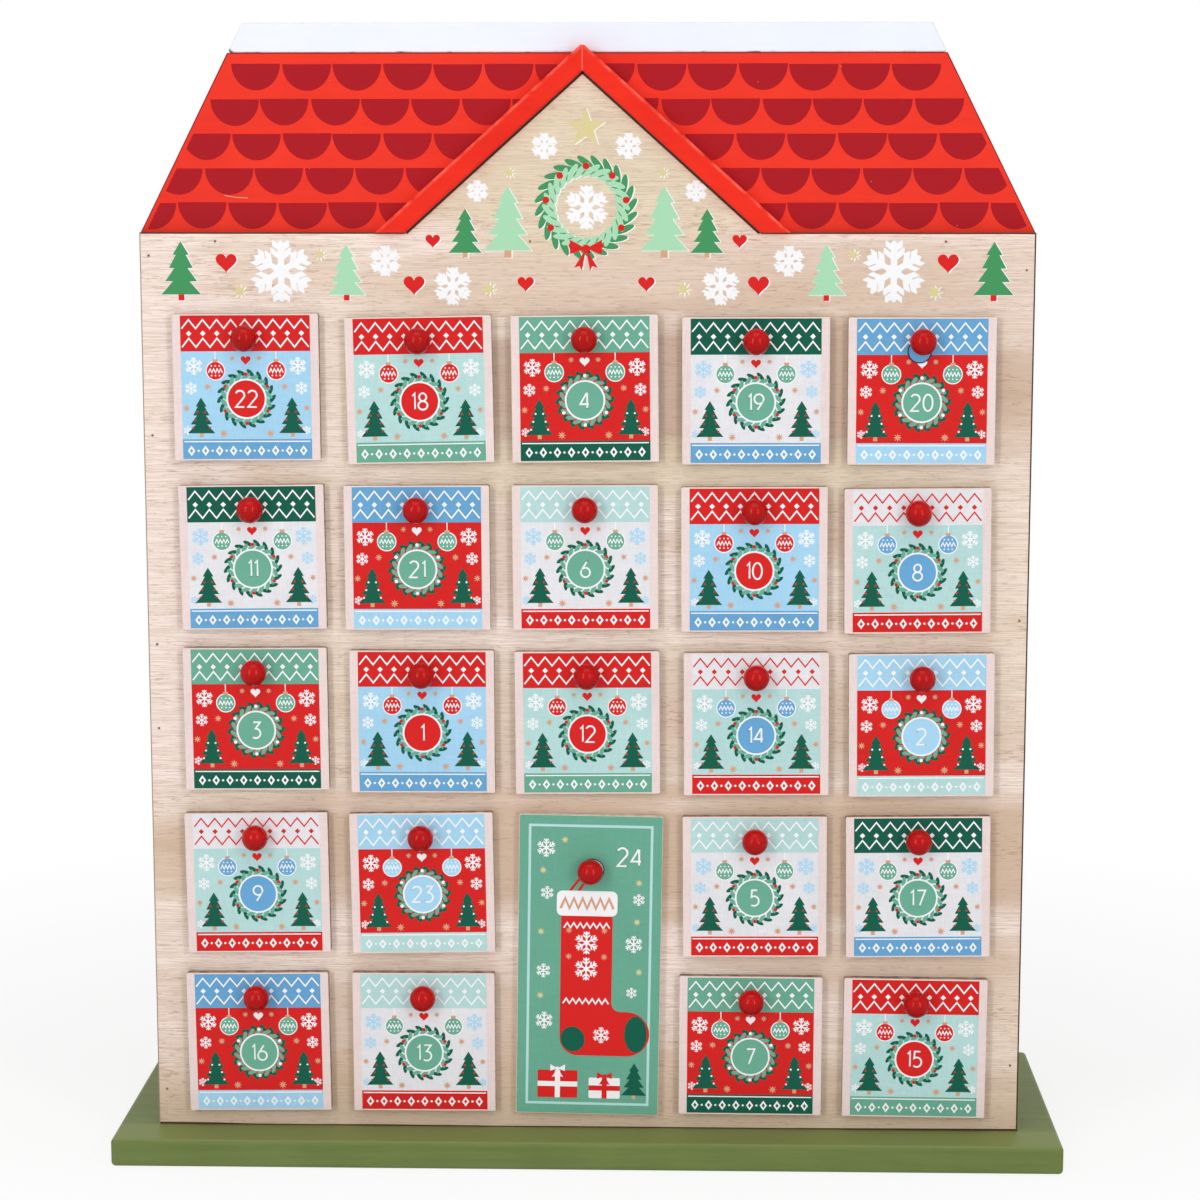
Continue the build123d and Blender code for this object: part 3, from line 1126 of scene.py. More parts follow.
class Scheme(Enum):
    """The colourways that the square fronts are printed in."""

    SKY = Colourway(Ink.RED, Ink.LIGHT_BLUE, Ink.BLUE, Ink.RED)
    MEADOW = Colourway(Ink.RED, Ink.MINT, Ink.GREEN, Ink.RED)
    HOLLY = Colourway(Ink.GREEN, Ink.RED, Ink.DARK_GREEN, Ink.GREEN, berry=Ink.WHITE)
    FOREST = Colourway(Ink.DARK_GREEN, Ink.CHALK, Ink.BLUE, Ink.GREEN, flake=Ink.LIGHT_BLUE)
    LAKE = Colourway(Ink.BLUE, Ink.RED, Ink.LIGHT_BLUE, Ink.GREEN, berry=Ink.WHITE)
    FROST = Colourway(Ink.MINT, Ink.CHALK, Ink.RED, Ink.GREEN, flake=Ink.LIGHT_BLUE)
    SNOW = Colourway(Ink.CHALK, Ink.MINT, Ink.RED, Ink.BLUE, chevron=Ink.RED)
    ICE = Colourway(Ink.LIGHT_BLUE, Ink.RED, Ink.MINT, Ink.LIGHT_BLUE, berry=Ink.WHITE)


FRONT_SCHEMES: Dict[Scheme, Tuple[int, ...]] = {
    Scheme.SKY: (22, 10, 1),
    Scheme.MEADOW: (18, 12, 15),
    Scheme.HOLLY: (4, 3, 7),
    Scheme.FOREST: (19, 11, 17),
    Scheme.LAKE: (20, 21, 16),
    Scheme.FROST: (6, 13, 5),
    Scheme.SNOW: (8, 14, 9),
    Scheme.ICE: (2, 23),
}
TALL_NUMBER = 24
MARKED_NUMBER = 20


@dataclass
class FrontFace:
    """The printed face of a drawer, as the frame has it.

    Attributes:
        middle: Middle of the face.
        width: Its width in millimetres.
        height: Its height in millimetres.
        tilt: How far it is turned in its plane, in radians.
        back: Place along Y of the front's back face.
    """

    middle: Vector
    width: float
    height: float
    tilt: float
    back: float

    @classmethod
    def of(cls, node: bpy.types.Object, thickness: float) -> "FrontFace":
        """Read the face from a drawer's mesh.

        Args:
            node: The drawer.
            thickness: Thickness of the front in metres.

        Returns:
            Its face.
        """
        low, high = (Vector(corner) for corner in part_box(node.name))
        tops = [face for face in node.data.polygons
                if face.normal.z > 0.9 and face.center.y < low.y + thickness]
        normal = max(tops, key=lambda face: face.area).normal
        tilt = math.atan2(-normal.x, normal.z)
        span = (high - low) / MM
        cos, sin = math.cos(tilt), abs(math.sin(tilt))
        width = (span.x * cos - span.z * sin) / (cos * cos - sin * sin)
        height = (span.z * cos - span.x * sin) / (cos * cos - sin * sin)
        middle = Vector(((low.x + high.x) / 2, low.y, (low.z + high.z) / 2))
        return cls(middle, width, height, tilt, low.y + thickness)

    def place(self) -> Matrix:
        """Give the matrix from millimetres on the face to the object's frame."""
        return face_matrix(*self.middle, self.tilt)


@dataclass
class Drawer:
    """A drawer: its bare tray and sawn front, its print and its knob.

    Attributes:
        number: The number on its front.
        scheme: The colourway of its print.
        thickness: Thickness of its front, in metres.
        edge: Bare rim round the print, in millimetres.
        corner: Radius of the print's corners.
        margin: Pale margin at the picture's sides.
        bleed: Pale margin above and below it.
        top_band: Height of the upper band.
        bottom_band: Height of the lower band.
        teeth: Number of teeth and of diamonds on the bands.
        medal: Radius of the number's ground.
        digits: Height of the digits.
        tree: How far aside and over the lower band the fir trees stand, and their height.
        ball: How far aside and below the upper band the glass balls hang, and their radius.
        low_flakes: Snow crystals, measured from the lower band.
        high_flakes: Snow crystals, measured from the upper band.
        low_stars: Stars, measured from the lower band.
        high_stars: Stars, measured from the upper band.
        mark_shift: How far the ring round the knob is out of place.
        mark_radii: Outer and inner radius of that ring.
        paper_film: Thickness of a film of the grounds.
        ink_film: Thickness of a film of the inks.
        ink_bottom: Height of the inks' undersides over the face.
        face: Its printed face.
    """

    number: int
    scheme: Optional[Scheme]
    thickness: float = 3 * MM
    edge: float = 0.15
    corner: float = 0.6
    margin: float = 2.7
    bleed: float = 0.35
    top_band: float = 12.2
    bottom_band: float = 6.8
    teeth: int = 9
    medal: float = 6.9
    digits: float = 5.6
    tree: Spot = (15.6, 0.7, 13.6)
    ball: Spot = (10.4, -6.6, 3.0)
    low_flakes: Tuple[Spot, ...] = ((18.9, 17.4, 2.2), (20.4, 3.0, 1.5))
    high_flakes: Tuple[Spot, ...] = ((17.8, -5.0, 3.1),)
    low_stars: Tuple[Spot, ...] = ((13.2, 17.9, 1.3), (20.6, 10.6, 1.3), (8.0, 1.9, 1.5))
    high_stars: Tuple[Spot, ...] = ((4.6, -2.4, 1.1),)
    mark_shift: Point = (-0.9, -3.3)
    mark_radii: Point = (4.1, 3.7)
    paper_film: float = 0.05
    ink_film: float = 0.03
    ink_bottom: float = 0.075
    face: FrontFace = field(init=False)

    @property
    def tag(self) -> str:
        """The number as two digits."""
        return f"{self.number:02d}"

    @property
    def colours(self) -> Colourway:
        """The inks of the print."""
        return self.scheme.value

    @property
    def half(self) -> Point:
        """Half the width and half the height of the printed area."""
        return (self.face.width / 2 - self.edge, self.face.height / 2 - self.edge)

    @property
    def inner(self) -> Point:
        """Half the width and half the height of the picture."""
        return (self.half[0] - self.margin, self.half[1] - self.bleed)

    @property
    def upper(self) -> float:
        """The height where the upper band ends."""
        return self.inner[1] - self.top_band

    @property
    def lower(self) -> float:
        """The height where the lower band ends."""
        return self.bottom_band - self.inner[1]

    @property
    def knob(self) -> Point:
        """The middle of the knob on the face."""
        low, high = (Vector(corner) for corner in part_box(f"knob_{self.tag}"))
        return tuple(self.face.place().inverted() @ ((low + high) / 2))[:2]

    def dress(self, nodes: Nodes, knob_paint: PaintFinish) -> None:
        """Give the drawer and its knob their finishes and its front its print.

        Args:
            nodes: The frame's nodes.
            knob_paint: Paint of the knob.
        """
        node = nodes[f"drawer_{self.tag}"]
        self.face = FrontFace.of(node, self.thickness)
        wear(node, self.boards().material())
        wear(nodes[f"knob_{self.tag}"], knob_paint.material())
        place = self.face.place()
        ground = WinterPrint(f"front_ground_{self.tag}", place, self.paper_film, broad=True)
        self.print_ground(ground)
        inks = WinterPrint(f"front_inks_{self.tag}", place, self.ink_film, self.ink_bottom)
        self.print_inks(inks)
        for sheet in (ground, inks):
            sheet.finish(f"drawer_body_{self.tag}", DRAWER_SLOT)

    def boards(self) -> DrawerFinish:
        """Give the finish of the boards and the sawn front."""
        return DrawerFinish("drawer_boards", round(self.face.back, 6))

    def print_ground(self, sheet: WinterPrint) -> None:
        """Print the pale paper and the three broad colours.

        Args:
            sheet: The print.
        """
        across, up = self.half
        sheet.box((-across, -up), (across, up), Ink.PINK, 0, self.corner)
        right, top = self.inner
        levels = (top, self.upper, self.lower, -top)
        inks = (self.colours.top, self.colours.field, self.colours.bottom)
        for high, low, ink in zip(levels, levels[1:], inks):
            sheet.box((-right, low), (right, high), ink, 1)

    def print_inks(self, sheet: WinterPrint) -> None:
        """Print the ornaments and the number.

        Args:
            sheet: The print.
        """
        colours = self.colours
        self._print_bands(sheet)
        self._print_medal(sheet, (0.0, (self.upper + self.lower) / 2 - 1.2))
        sheet.pairs(partial(sheet.fir, ink=Ink.DARK_GREEN, pot=Ink.TAN, layer=1), [self.tree], self.lower)
        for rise, reach in ((3.2, 2.9), (5.9, 2.1), (8.6, 1.3)):
            lights = [(self.tree[0] + end * reach, self.tree[1] + rise, 0.36) for end in SIDES]
            sheet.pairs(partial(sheet.dot, ink=colours.berry, layer=3, sides=8), lights, self.lower)
        ball = partial(sheet.bauble, hook=self.upper, ink=colours.medal, lines=Ink.WHITE, layer=1)
        sheet.pairs(ball, [self.ball], self.upper)
        for draw, ink, low, high in ((sheet.snowflake, colours.flake, self.low_flakes, self.high_flakes),
                                     (sheet.star, Ink.TAN, self.low_stars, self.high_stars)):
            sheet.pairs(partial(draw, ink=ink, layer=1), low, self.lower)
            sheet.pairs(partial(draw, ink=ink, layer=1), high, self.upper)
        sheet.heart((0, self.upper - 3.2), 3.4, colours.berry, 1)
        if self.number == MARKED_NUMBER:
            self.print_mark(sheet, Ink.BLUE, 5)

    def print_mark(self, sheet: WinterPrint, ink: Ink, layer: int) -> None:
        """Print the ring that shows the maker where the knob goes, which the knob misses.

        Args:
            sheet: The print.
            ink: Ink inside the ring.
            layer: Its lowest film.
        """
        ring, = shifted([self.mark_shift], self.knob)
        sheet.dot(ring, self.mark_radii[0], Ink.NAVY, layer, sides=40)
        sheet.dot(ring, self.mark_radii[1], ink, layer + 1, sides=40)

    def _print_bands(self, sheet: WinterPrint) -> None:
        """Print the zigzags of the upper band and the diamonds of the lower one.

        Args:
            sheet: The print.
        """
        colours = self.colours
        right = self.inner[0] - 0.5
        for share in (0.24, 0.76):
            level = self.upper + share * self.top_band
            sheet.zigzag((-right, right), level, swing=1.5, teeth=self.teeth, pen=0.5, ink=colours.chevron)
        sheet.box((-right, self.lower - 1.0), (right, self.lower - 0.6), Ink.WHITE)
        pitch = 2 * right / self.teeth
        for index in range(self.teeth):
            across = pitch * (index + 0.5) - right
            sheet.dot((across, self.upper + 0.5 * self.top_band), 0.95, colours.chevron, sides=4)
            level = self.lower - 0.58 * self.bottom_band
            sheet.disc((across, level), (1.3, 1.8), Ink.WHITE, sides=4)
            sheet.disc((across, level), (0.55, 0.8), colours.bottom, 1, sides=4)
            if index:
                sheet.dot((across - pitch / 2, level), 0.4, Ink.WHITE, sides=10)

    def _print_medal(self, sheet: WinterPrint, middle: Point) -> None:
        """Print the number on its round ground in a ring of leaves.

        Args:
            sheet: The print.
            middle: Middle of the ground.
        """
        sheet.wreath(middle, self.medal + 1.4, leaves=18, leaf=(1.75, 0.7),
                     inks=(Ink.DARK_GREEN, Ink.GREEN), layer=1)
        sheet.berries(middle, self.medal + 1.5, size=0.6, turns=range(30, 390, 60),
                      ink=self.colours.berry, sides=12)
        sheet.dot(middle, self.medal, Ink.WHITE, layer=3, sides=48)
        sheet.dot(middle, self.medal - 0.6, self.colours.medal, layer=4, sides=48)
        sheet.number(self.number, middle, self.digits, Ink.WHITE, layer=5)


@dataclass
class TallDrawer(Drawer):
    """The tall drawer in the bottom middle, printed with a hung stocking.

    Attributes:
        frame_inset: How far the frame line lies inside the print.
        flakes: Places and sizes of the snow crystals.
        stars: Places of the stars.
        leg: Left and right side of the stocking's leg.
        leg_foot: Height where the leg ends in front.
        heel: Middle of the heel's curve and its radius.
        toe: Middle of the toe's curve and its radius.
        cuff: Height of the cuff.
        cuff_drop: How far its top hangs below the knob.
    """

    scheme: Optional[Scheme] = None
    mark_shift: Point = (0.6, -0.2)
    mark_radii: Point = (4.2, 3.85)
    ink_bottom: float = 0.025
    frame_inset: float = 3.6
    flakes: Tuple[Spot, ...] = ((-15.5, 42, 3.4), (-15.0, 26, 2.4), (15.5, 8, 3.2), (17.0, 24, 2.2),
                                (-16.0, -2, 2.6), (-15.5, -20, 3.2), (15.0, -9.5, 2.0))
    stars: Tuple[Point, ...] = ((-16.5, 34), (16.5, 16), (-17, 12), (17.5, -2), (-17, -11), (-9, 45),
                                (17, 30))
    leg: Point = (-10.0, 8.0)
    leg_foot: float = -16.0
    heel: Spot = (-3.5, -26.0, 6.5)
    toe: Spot = (13.5, -24.5, 8.0)
    cuff: float = 9.0
    cuff_drop: float = 7.6

    def boards(self) -> DrawerFinish:
        """Give the finish of the boards and the front, which is scorched less than the others."""
        pale = {"burnt": srgb(206, 188, 174), "singed": srgb(234, 222, 212)}
        return DrawerFinish("tall_drawer_boards", round(self.face.back, 6), **pale)

    def print_ground(self, sheet: WinterPrint) -> None:
        """Print the green paper."""
        across, up = self.half
        sheet.box((-across, -up), (across, up), Ink.GREEN, 0, self.corner)

    def print_inks(self, sheet: WinterPrint) -> None:
        """Print the frame lines, the stocking, the parcels and the number.

        Args:
            sheet: The print.
        """
        right, top = (reach - self.frame_inset for reach in self.half)
        frame = [(-right, -top), (right, -top), (right, top), (-right, top), (-right, -top)]
        sheet.stroke(frame, 0.9, Ink.MINT)
        self._print_stocking(sheet)
        self._print_parcels(sheet, 2 - top)
        for across, up, size in self.flakes:
            sheet.snowflake((across, up), size, Ink.WHITE, 1)
        for spot in self.stars:
            sheet.star(spot, 1.4, Ink.GOLD, 1)
        sheet.number(self.number, (13.6, 39.2), 6.4, Ink.WHITE, 3)
        self.print_mark(sheet, Ink.WHITE, 6)

    def _print_stocking(self, sheet: WinterPrint) -> None:
        """Print a red stocking with a white cuff that hangs from the knob.

        Args:
            sheet: The print.
        """
        across, up = self.knob
        left, right = self.leg
        middle = (left + right) / 2
        cuff_top = up - self.cuff_drop
        leg_top = cuff_top - self.cuff
        cord = [(left + 3, cuff_top), (across - 1.2, up), (across + 1.2, up), (left + 6, cuff_top)]
        sheet.stroke(cord, 0.9, Ink.RED, 2)
        outline = [(left, leg_top), (left, self.heel[1])]
        outline += arc(self.heel[:2], (self.heel[2], self.heel[2]), 180, 270, 10)
        outline += arc(self.toe[:2], (self.toe[2], self.toe[2]), -90, 90, 18)
        outline += arc((right + 3.2, self.leg_foot + 2.7), (3.2, 3.2), 270, 180, 8)
        sheet.polygon(outline + [(right, leg_top)], Ink.RED, 2)
        sheet.box((left - 1.6, leg_top), (right + 1.6, cuff_top), Ink.WHITE, 3, 2.0)
        sheet.zigzag((left - 0.2, right + 0.2), cuff_top - 0.5 * self.cuff, swing=1.8, teeth=6, pen=0.9,
                     ink=Ink.TAN, layer=4)
        for level in (leg_top - 3.4, self.leg_foot + 3.2):
            sheet.zigzag((left + 1, right - 1), level, swing=0.9, teeth=7, pen=0.5, ink=Ink.WHITE, layer=3)
        for level in (leg_top - 9.6, leg_top - 19.0):
            sheet.snowflake((middle, level), 4.2, Ink.WHITE, 3)
            for side in SIDES:
                sheet.star((middle + side * 6.2, level + 4.4), 1.3, Ink.TAN, 3)
        sheet.disc((left + 4.6, -26.6), (4.2, 4.6), Ink.DARK_GREEN, layer=3, turn=20, sides=28)
        sheet.disc((self.toe[0] + 3.2, self.toe[1]), (4.0, 6.6), Ink.DARK_GREEN, layer=3, sides=28)
        sheet.snowflake((4.6, -25.0), 3.0, Ink.WHITE, 3)

    def _print_parcels(self, sheet: WinterPrint, foot: float) -> None:
        """Print two tied parcels and a fir tree.

        Args:
            sheet: The print.
            foot: Height of their lower edge.
        """
        ribbon_half = 0.9
        for left, right, rise, paper, ribbon in ((-17.5, -3.5, 10, Ink.RED, Ink.WHITE),
                                                 (0.5, 11.5, 7.5, Ink.WHITE, Ink.RED)):
            top = foot + rise
            across, up = (left + right) / 2, (foot + top) / 2
            sheet.box((left, foot), (right, top), paper, 2, 0.5)
            sheet.box((across - ribbon_half, foot), (across + ribbon_half, top), ribbon, 3)
            sheet.box((left, up - ribbon_half), (right, up + ribbon_half), ribbon, 4)
            sheet.bow((across, top + 0.6), 2.6, ribbon, 5)
        sheet.fir((16.4, foot), 13.0, Ink.DARK_GREEN, Ink.TAN, 2)


@dataclass(frozen=True)
class PanelFace:
    """The face of the front panel with its gable, in millimetres from the middle of the eaves.

    Attributes:
        place: Turns millimetres across, up and out of the face into the object's frame.
        half: Half the panel's width.
        foot: Height of its lower edge, below zero.
        tip: Place of the gable's tip, across and up.
        feet: Left and right end of the gable at the eaves.
    """

    place: Matrix
    half: float
    foot: float
    tip: Point
    feet: Point

    @classmethod
    def read(cls, panel: bpy.types.Object) -> "PanelFace":
        """Read the face from the panel's mesh.

        Args:
            panel: The front panel.

        Returns:
            Its face.
        """
        low, high = (Vector(corner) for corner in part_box(panel.name))
        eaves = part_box("roof_panel")[0][2]
        middle = (low.x + high.x) / 2
        place = face_matrix(middle, low.y, eaves)
        half = (high.x - middle) / MM
        corners = [place.inverted() @ corner.co for corner in panel.data.vertices]
        level = [corner.x for corner in corners if abs(corner.y) < 0.5 and abs(corner.x) < half - 1]
        top = max(corners, key=lambda corner: corner.y)
        return cls(place, half, (low.z - eaves) / MM, (top.x, top.y), (min(level), max(level)))

    def foot_of(self, side: int) -> Point:
        """Give the end of the gable's slope at the eaves on one side."""
        return (self.feet[side > 0], 0.0)

    def inward(self, side: int) -> Vector:
        """Give the direction from the gable's slope on one side into the panel."""
        run = Vector(self.tip) - Vector(self.foot_of(side))
        return Vector((-side * run.y, -abs(run.x))).normalized()


@dataclass
class Gable:
    """The ornaments printed on the gable and the frieze of the front panel.

    Attributes:
        film: Thickness of a film in millimetres.
        under_film: Thickness of a film of the white print below.
        slip: How far the white print lies out of place, across and up.
        ring: Middle of the wreath.
        firs: Fir trees, with the inks of the tree and the trunk.
        fine_flakes: Small snow crystals: how far aside and up each lies, and its size.
        broad_flakes: Larger snow crystals.
        stars: Stars.
        hearts: Hearts.
    """

    film: float = 0.03
    under_film: float = 0.005
    slip: Point = (0.42, -0.18)
    ring: Point = (0.0, 8.5)
    firs: Tuple[Tuple[Spot, Ink, Ink], ...] = (
        ((26.5, -8.5, 24.0), Ink.PALE_LEAF, Ink.TAN), ((41.0, -8.5, 16.5), Ink.LEAF, Ink.TAN),
        ((138.0, -23.0, 20.0), Ink.LEAF, Ink.RED), ((81.5, -23.0, 19.0), Ink.PALE_LEAF, Ink.RED))
    fine_flakes: Tuple[Spot, ...] = ((14.2, 29.0, 4.4), (37.0, 14.0, 3.6), (68.5, -9.5, 5.2))
    broad_flakes: Tuple[Spot, ...] = ((104.0, -13.0, 10.4), (45.5, -18.0, 6.4))
    stars: Tuple[Spot, ...] = ((26.0, 20.0, 2.2), (118.0, -20.0, 2.8), (90.5, -7.5, 2.4),
                               (33.0, -19.0, 2.8))
    hearts: Tuple[Spot, ...] = ((52.0, -3.0, 5.0), (122.5, -10.5, 7.2), (58.5, -18.0, 7.2),
                                (20.5, -17.5, 5.6))

    def dress(self, face: PanelFace) -> None:
        """Print the ornaments over a slipped white print.

        Args:
            face: The face of the panel.
        """
        slipped = face.place @ Matrix.Translation((*self.slip, 0))
        for sheet in (WinterPrint("gable_underprint", slipped, self.under_film, single=Ink.WHITE),
                      WinterPrint("gable_inks", face.place, self.film)):
            self._print(sheet)
            sheet.finish(HOUSE, PANEL_SLOT)

    def _print(self, sheet: WinterPrint) -> None:
        """Print the wreath in the middle and the ornaments on both sides of it.

        Args:
            sheet: The print.
        """
        sheet.wreath(self.ring, radius=13.6, leaves=24, leaf=(3.7, 1.15), inks=(Ink.LEAF, Ink.PALE_LEAF))
        sheet.berries(self.ring, radius=13.8, size=1.15, turns=range(90, 450, 40), ink=Ink.RED, sides=14)
        sheet.bow((0, -5.4), 5.4, Ink.RED, layer=4)
        sheet.snowflake(self.ring, 7.4, Ink.WHITE, pen=0.16)
        sheet.star((0, 35.0), 7.0, Ink.GOLD, waist=0.4, points=5)
        for spot, ink, pot in self.firs:
            sheet.pairs(partial(sheet.fir, ink=ink, pot=pot), [spot])
        sheet.pairs(partial(sheet.snowflake, ink=Ink.WHITE, pen=0.18), self.fine_flakes)
        sheet.pairs(partial(sheet.snowflake, ink=Ink.WHITE, pen=0.17), self.broad_flakes)
        sheet.pairs(partial(sheet.star, ink=Ink.GOLD), self.stars)
        sheet.pairs(partial(sheet.heart, ink=Ink.RED), self.hearts)


@dataclass
class Roof:
    """The roof: red board with printed scallop shingles, painted ends, trims and ridge.

    Attributes:
        first_row: Drop from the roof's top to the first row of shingles, in millimetres.
        row_pitch: Drop from one row to the next.
        shingle_pitch: Distance of shingles in a row.
        shingle: Width and height of a shingle.
        row_starts: Left end of a shingle in each row, on the left half and on the right one.
        margin: Plain red that is left beside the slopes.
        least: Share of a shingle that has to be inside for it to be printed.
        waver: How far a shingle may stray.
        film: Thickness of the print.
        edge: Width of the dark line along the board's sawn edges.
        specks: Number of dust specks on each half.
        speck: Least and greatest radius of a speck.
        scratch: Points along a scratch on the left half.
        scratch_pen: Width of the scratch.
        height: Height of the board.
        half: Half its width at the eaves.
        top_half: Half its width at the top.
    """

    first_row: float = 3.75
    row_pitch: float = 11.6
    shingle_pitch: float = 17.1
    shingle: Point = (16.5, 8.85)
    row_starts: Tuple[Point, ...] = ((-0.5, -0.25), (9.05, 7.8), (-0.75, -1.0), (6.8, 7.6), (-2.55, -0.45))
    margin: float = 1.8
    least: float = 0.25
    waver: float = 0.16
    film: float = 0.04
    edge: float = 0.3
    specks: int = 4
    speck: Point = (0.07, 0.12)
    scratch: Tuple[Point, ...] = ((-123.2, 12.4), (-119.2, 11.75), (-115.1, 11.55))
    scratch_pen: float = 0.26
    height: float = field(init=False)
    half: float = field(init=False)
    top_half: float = field(init=False)

    def dress(self, nodes: Nodes, face: PanelFace) -> None:
        """Paint the boards and print the shingles.

        Args:
            nodes: The frame's nodes.
            face: The face of the panel in front of the roof.
        """
        low, high = (Vector(corner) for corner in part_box("roof_panel"))
        across = -face.inward(1)
        tip = face.place @ Vector((face.tip[0], face.tip[1], 0))
        outer = (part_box("gable_trims")[1][0] - tip.x) * across.x + low.z * across.y
        ridge_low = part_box("ridge_board")[0]
        paints = {
            "roof_panel": PaintFinish("roof_red_print", srgb(239, 55, 35), srgb(229, 48, 31), 0.55,
                                      shine=0.15, relief=0.08),
            "roof_ends": PaintFinish("roof_red_paint", srgb(236, 54, 38), srgb(222, 46, 32), 0.45),
            "gable_trims": TrimFinish("trim_red_paint", srgb(240, 46, 26), srgb(226, 38, 22), 0.42,
                                      shine=0.14, tip=tip.x, slope=tuple(across), outer=outer),
            "ridge_board": RidgeFinish("white_paint", srgb(236, 239, 249), srgb(231, 235, 246), 0.45,
                                       corner=(ridge_low[0], ridge_low[2])),
        }
        for node, paint in paints.items():
            wear(nodes[node], paint.material())
        place = face_matrix((low.x + high.x) / 2, low.y, low.z)
        corners = [corner.co for corner in nodes["roof_panel"].data.vertices]
        crest = [corner.x for corner in corners if high.z - corner.z < 0.5 * MM]
        self.height = (high.z - low.z) / MM
        self.half = (high.x - low.x) / 2 / MM
        self.top_half = (max(crest) - min(crest)) / 2 / MM
        for side, name in zip(SIDES, ("left", "right")):
            sheet = PrintSheet(f"roof_shingles_{name}", place, self.film)
            self._print_half(sheet, side, face)
            sheet.finish(HOUSE, "roof_red_print")

    def _reach(self, level: float) -> float:
        """Give half the width of the board at a height over the eaves, in millimetres."""
        return self.half - (self.half - self.top_half) * level / self.height

    def _print_half(self, sheet: PrintSheet, side: int, face: PanelFace) -> None:
        """Print one half of the board and trim it at the gable.

        Args:
            sheet: The print.
            side: -1 for the left half and 1 for the right one.
            face: The face of the panel in front of the roof.
        """
        draw = random.Random(side)
        self._print_shingles(sheet, side, draw)
        lean = Vector((self.height, self.half - self.top_half)).normalized()
        sheet.cut((side * (self.half - self.margin), 0), (side * lean.x, lean.y))
        inset = 0.5 * self.edge
        top = (side * (self.top_half - inset), self.height - inset)
        end = (top[0], self.height - self.edge)
        for line in ([(0, top[1]), top], [(side * (self.half - inset), 0), end]):
            sheet.stroke(line, self.edge, Ink.MAROON)
        for _ in range(self.specks):
            level = draw.uniform(2, self.height - 2)
            across = side * draw.uniform(0.3, 0.98) * self._reach(level)
            sheet.dot((across, level), draw.uniform(*self.speck), Ink.PINK, layer=1, sides=8)
        if side < 0:
            sheet.stroke(self.scratch, self.scratch_pen, Ink.TAN, 1)
        sheet.cut((face.tip[0], 0), (-side, 0))
        sheet.cut(face.foot_of(side), tuple(face.inward(side)))

    def _print_shingles(self, sheet: PrintSheet, side: int, draw: random.Random) -> None:
        """Print the rows of shingles on one half.

        Args:
            sheet: The print.
            side: -1 for the left half and 1 for the right one.
            draw: Draws how far each shingle strays.
        """
        width, drop = self.shingle
        count = int(self.half // self.shingle_pitch) + 2
        for row, starts in enumerate(self.row_starts):
            top = self.height - self.first_row - row * self.row_pitch
            limit = self._reach(top) - self.margin
            for index in range(-count, count + 1):
                left = starts[side > 0] + index * self.shingle_pitch
                inside = limit - min(abs(left), abs(left + width))
                if inside > self.least * width and side * left > -self.shingle_pitch:
                    middle = (left + self.shingle_pitch / 2 + draw.uniform(-self.waver, self.waver),
                              top + draw.uniform(-self.waver, self.waver))
                    sheet.polygon(arc(middle, (width / 2, drop), 180, 360, 28), Ink.ROOF_DARK)


